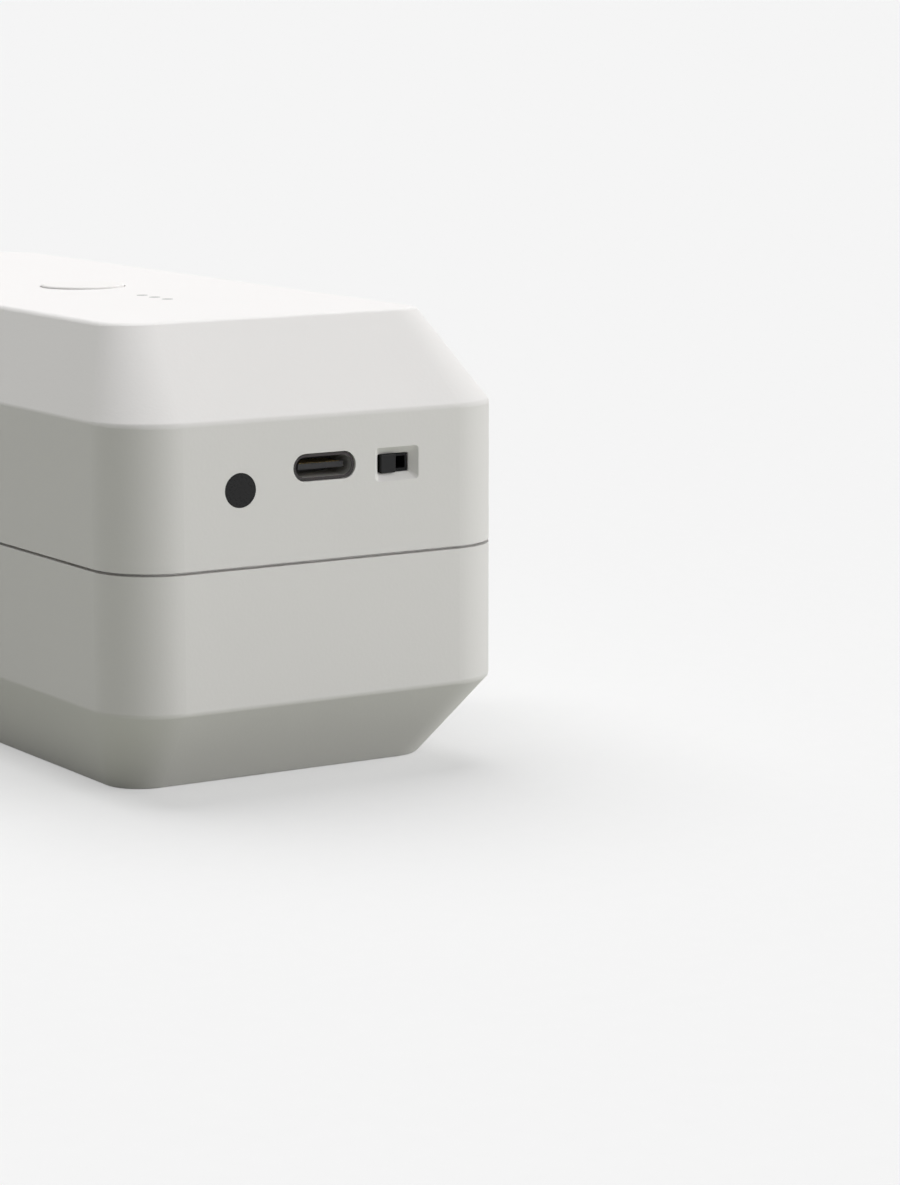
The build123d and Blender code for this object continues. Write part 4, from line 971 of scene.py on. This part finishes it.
def chips(places, up, side, thick, legs):
    """Square chips of the given side with a row of legs on each edge."""
    pitch = (side - 2 * LEG_FREE) / (legs - 1)
    reach = side / 2 + 0.05
    row = [LEG_FREE - side / 2 + i * pitch for i in range(legs)]
    feet = [spot for a in row for spot in ((a, reach), (a, -reach), (reach, a), (-reach, a))]
    return mounted(places, up, (side, side, thick), chip_epoxy, LEG, feet, bevel=0.12)


def two_ended(places, up, size, material):
    """Small parts with a metal cap at each end, such as resistors and ceramic capacitors."""
    length, width, thick = size
    ends = [(0.2 - length / 2, 0), (length / 2 - 0.2, 0)]
    cap = (CAP_LENGTH, width + 2 * CAP_WALL, thick + 2 * CAP_WALL)
    body = (length - 0.5, width, thick)
    return mounted(places, up, body, material, cap, ends, bevel=0.05, metal_bevel=0.05)


def coils(places, up, side, thick):
    """Moulded power coils with two solder tabs."""
    tab = (0.5, side * 0.5, 0.3)
    ends = [(-side / 2, 0), (side / 2, 0)]
    return mounted(places, up, (side, side, thick), coil_ferrite, tab, ends, bevel=0.5)


# %% Fill a board from a list
def line(x, y, pitch, count):
    """Spots in a row along X, in millimetres."""
    return [(x + pitch * i, y) for i in range(count)]


def board_parts(name, box, rows):
    """One piece from rows of a kind, a face (1 above, -1 below), spots and that kind's own sizes."""
    low, high = map(Vector, box)
    meshes = []
    for kind, up, spots, *sizes in rows:
        level = high.z if up > 0 else low.z
        meshes += kind([(low.x + x * MM, low.y + y * MM, level) for x, y in spots], up, *sizes)
    new_piece(name, meshes)


# %% Main board and port board
CAPACITOR = (1.6, 0.8, 0.8)
SMALL_CAPACITOR = (1.0, 0.5, 0.5)
RESISTOR = (1.0, 0.5, 0.35)
board_parts("main_board_parts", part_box("main_board"), [
    (chips, 1, [(47, 27)], 7.0, 0.9, 8),
    (chips, 1, [(63, 25)], 4.0, 0.8, 5),
    (coils, 1, [(46, 7), (56, 6)], 5.0, 2.8),
    (two_ended, 1, line(34, 33, 2.6, 10) + line(12, 5, 2.6, 9), CAPACITOR, cap_ceramic),
    (two_ended, 1, line(40, 20.5, 2.2, 3) + line(60, 20, 2.2, 5), RESISTOR, resistor_glaze),
    (chips, -1, [(16, 24)], 6.0, 0.9, 7),
    (coils, -1, [(28, 25)], 4.0, 2.0),
    (two_ended, -1, line(8, 30, 2.4, 12) + line(40, 26, 2.4, 8), CAPACITOR, cap_ceramic),
    (two_ended, -1, line(8, 17, 2.0, 10), RESISTOR, resistor_glaze),
])
board_parts("port_board_parts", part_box("port_board"), [
    (chips, 1, [(8.0, 7.5)], 3.0, 0.8, 4),
    (coils, 1, [(8.2, 24.8)], 3.0, 1.5),
    (two_ended, 1, line(5.2, 3.6, 1.8, 4) + line(6.5, 28.2, 1.8, 2), SMALL_CAPACITOR, cap_ceramic),
])

# %% [markdown]
# Radio module
#
# The module is a small board of its own. A tin can soldered over its chip keeps noise in, and the bare
# strip beside the can carries the antenna: a gold line that folds back and forth. Its pads stand along
# both edges. The antenna's folds are one short bar copied across, and another that joins their ends.

# %% Module board and vented can
low, high = map(Vector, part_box("radio_module"))
MODULE_BOARD = 0.8 * MM
CAN_LENGTH = 12.4 * MM
size = high - low
board_middle = (low + high) / 2 - Vector((0, 0, (size.z - MODULE_BOARD) / 2))
module_board = bar_shape((size.x, size.y, MODULE_BOARD), board_green, bevel=0.05 * MM)
module_board = moved(module_board, board_middle)
can_size = Vector((CAN_LENGTH, size.y - 1.6 * MM, size.z - MODULE_BOARD))
can = bar_shape(can_size, shield_steel, bevel=0.35 * MM)
VENT_X, VENT_Y = 2.6 * MM, 5.0 * MM
vent_z = can_size.z / 2 + 0.7 * MM
places = [((i - 1.5) * VENT_X, (j - 0.5) * VENT_Y, vent_z) for i in range(4) for j in range(2)]
can = finish_mesh(carved(can, copies(drill(0.4 * MM, 12), places)), shield_steel)
can = moved(can, (low.x + 0.6 * MM + CAN_LENGTH / 2, (low.y + high.y) / 2, high.z - can_size.z / 2))

# %% Antenna and pads
FOLD = 1.1 * MM
LINE = 0.35 * MM
fold_x = [high.x - 0.8 * MM, high.x - 3.6 * MM]
count = int((size.y - 2 * MM) / FOLD)
level = low.z + MODULE_BOARD
run = bar_shape((fold_x[0] - fold_x[1] + LINE, LINE, 0.06 * MM), contact_gold)
bend = bar_shape((LINE, FOLD, 0.06 * MM), contact_gold)
start_y = (low.y + high.y - count * FOLD) / 2
runs = [(sum(fold_x) / 2, start_y + i * FOLD, level) for i in range(count + 1)]
bends = [(fold_x[i % 2], start_y + (i + 0.5) * FOLD, level) for i in range(count)]
PAD_PITCH = 1.27 * MM
pad = bar_shape((0.6 * MM, 0.8 * MM, 0.84 * MM), contact_gold)
pads = [
    (low.x + 1.2 * MM + i * PAD_PITCH, y, low.z + MODULE_BOARD / 2)
    for i in range(9) for y in (low.y + 0.38 * MM, high.y - 0.38 * MM)
]
meshes = [module_board, can, copies(run, runs), copies(bend, bends), copies(pad, pads)]
new_piece("radio_board_and_can", meshes, ["radio_module"])

# %% [markdown]
# Key switch cover
#
# The key switch is a black base under a thin steel cover that is held by four melted pips. The cover
# is a plate with a round hole for the plunger, lying a hair above the base.

# %% Cover and pips
low, high = map(Vector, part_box("key_switch"))
middle = (low + high) / 2
plate_size = (high.x - low.x - 0.2 * MM, high.y - low.y - 0.2 * MM, 0.16 * MM)
plate = bar_shape(plate_size, shield_steel, bevel=0.04 * MM)
plate = finish_mesh(carved(plate, drill(1.85 * MM, 64)), shield_steel)
plate = moved(plate, (middle.x, middle.y, high.z))
outline = [(0, 0), (0.45 * MM, 0), (0.45 * MM, 0.12 * MM), (0.30 * MM, 0.24 * MM), (0, 0.28 * MM)]
pip = turned(outline, dark_lcp, steps=16)
PIP_SPOT = 2.2 * MM
pips = [(middle.x + i * PIP_SPOT, middle.y + j * PIP_SPOT, high.z) for i in (-1, 1) for j in (-1, 1)]
new_piece("key_cover", [plate, copies(pip, pips)])

# %% [markdown]
# Camera
#
# The camera stands where the photograph was taken from: in front of the port end, a little to the
# blank side and above the button face, with a long lens. Pointing it along a direction is safer than
# typing three angles.


# %% Camera at the photograph's place
def direction(azimuth, elevation):
    """Unit vector from an azimuth, counted from +X, and an elevation, both in degrees."""
    around, above = math.radians(azimuth), math.radians(elevation)
    return Vector((math.cos(around) * math.cos(above), math.sin(around) * math.cos(above), math.sin(above)))


camera = bpy.data.objects.new("camera", bpy.data.cameras.new("camera"))
camera.location = (0.46897, -0.23496, 0.10326)
camera_aim = direction(azimuth=147.32, elevation=-9.554)
camera.rotation_euler = camera_aim.to_track_quat("-Z", "Y").to_euler()
camera.data.lens = 110.03
camera.data.sensor_width = 36.0
camera.data.clip_start = 0.01
camera.data.clip_end = 200.0
scene.collection.objects.link(camera)
scene.camera = camera
print("camera looks along", [round(c, 3) for c in camera_aim])

# %% [markdown]
# Floor and background
#
# The photograph has a plain pale ground. The floor shows its pale colour to the camera and to
# reflections, and a duller one to the light that bounces from it, so that the undersides stay as dim
# as they are in the photograph. It still catches the object's shadow.

# %% Floor
HALF_FLOOR = 60.0
FLOOR_LEVEL = -0.05 * MM   # a hair below the object
floor_mesh = bpy.data.meshes.new("floor")
corners = [(x * HALF_FLOOR, y * HALF_FLOOR, FLOOR_LEVEL) for x, y in ((-1, -1), (1, -1), (1, 1), (-1, 1))]
floor_mesh.from_pydata(corners, [], [(0, 1, 2, 3)])
floor = bpy.data.objects.new("floor", floor_mesh)
scene.collection.objects.link(floor)


def seen_directly(tree):
    """1 for what the camera, a reflection or a clear piece shows, and 0 for bounced light."""
    rays = add_node(tree, "ShaderNodeLightPath").outputs
    shown = add_node(
        tree, "ShaderNodeMath", {0: rays["Is Camera Ray"], 1: rays["Is Glossy Ray"]}, operation="ADD"
    )
    return add_node(
        tree, "ShaderNodeMath", {0: shown, 1: rays["Is Transmission Ray"]},
        operation="ADD", use_clamp=True,
    )


GLOW = 0.425               # lifts the paper to the photograph's level
floor_paper, tree, shader, place = start_material("matt paper", 1.0, Specular_IOR_Level=0.0)
fibres = add_node(tree, "ShaderNodeTexNoise", {"Vector": place, "Scale": 1 / (3.0 * MM)})
paper = add_node(tree, "ShaderNodeMix", {"Factor": fibres, 6: "#B3B3B3", 7: "#B5B5B5"}, data_type="RGBA")
shown = seen_directly(tree)
colour = add_node(
    tree, "ShaderNodeMix", {"Factor": shown, 6: "#9EA195", 7: paper.outputs[2]}, data_type="RGBA"
)
glow = add_node(tree, "ShaderNodeMath", {0: shown, 1: GLOW}, operation="MULTIPLY")
set_inputs(tree, shader, {
    "Base Color": colour.outputs[2], "Emission Color": [1.0, 1.0, 1.0, 1.0], "Emission Strength": glow,
})
floor_mesh.materials.append(floor_paper)

# %% World
FILL = 0.20                # light from all sides that softens the shadows
world = bpy.data.worlds.new("studio")
scene.world = world
world.use_nodes = True
tree = world.node_tree
background = tree.nodes["Background"]
sky = add_node(
    tree, "ShaderNodeMix",
    {"Factor": seen_directly(tree), 6: [FILL, FILL, FILL, 1.0], 7: "#F5F5F5"}, data_type="RGBA",
)
set_inputs(tree, background, {"Color": sky.outputs[2]})

# %% [markdown]
# Studio light
#
# The photograph is lit by a wide soft light overhead, a window's light from the right and a weaker
# one before the port end. Distant lamps with a wide disc give the same light all over the floor, so no
# bright pool forms.


# %% Lamps
def soft_light(name, strength, spread, azimuth, elevation):
    """Distant lamp, whose light comes from the given direction. The angles are in degrees."""
    lamp = bpy.data.lights.new(name, "SUN")
    lamp.energy = strength
    lamp.angle = math.radians(spread)
    source = bpy.data.objects.new(name, lamp)
    source.rotation_euler = direction(azimuth, elevation).to_track_quat("Z", "Y").to_euler()
    scene.collection.objects.link(source)


soft_light("overhead", strength=2.40, spread=60.0, azimuth=180.0, elevation=65.0)
soft_light("window", strength=1.52, spread=60.0, azimuth=58.0, elevation=13.0)
soft_light("port end", strength=1.01, spread=60.0, azimuth=20.0, elevation=5.0)

# %% [markdown]
# Renderer
#
# The Standard view shows a colour as it is written.

# %% Finish
scene.view_settings.view_transform = "Standard"
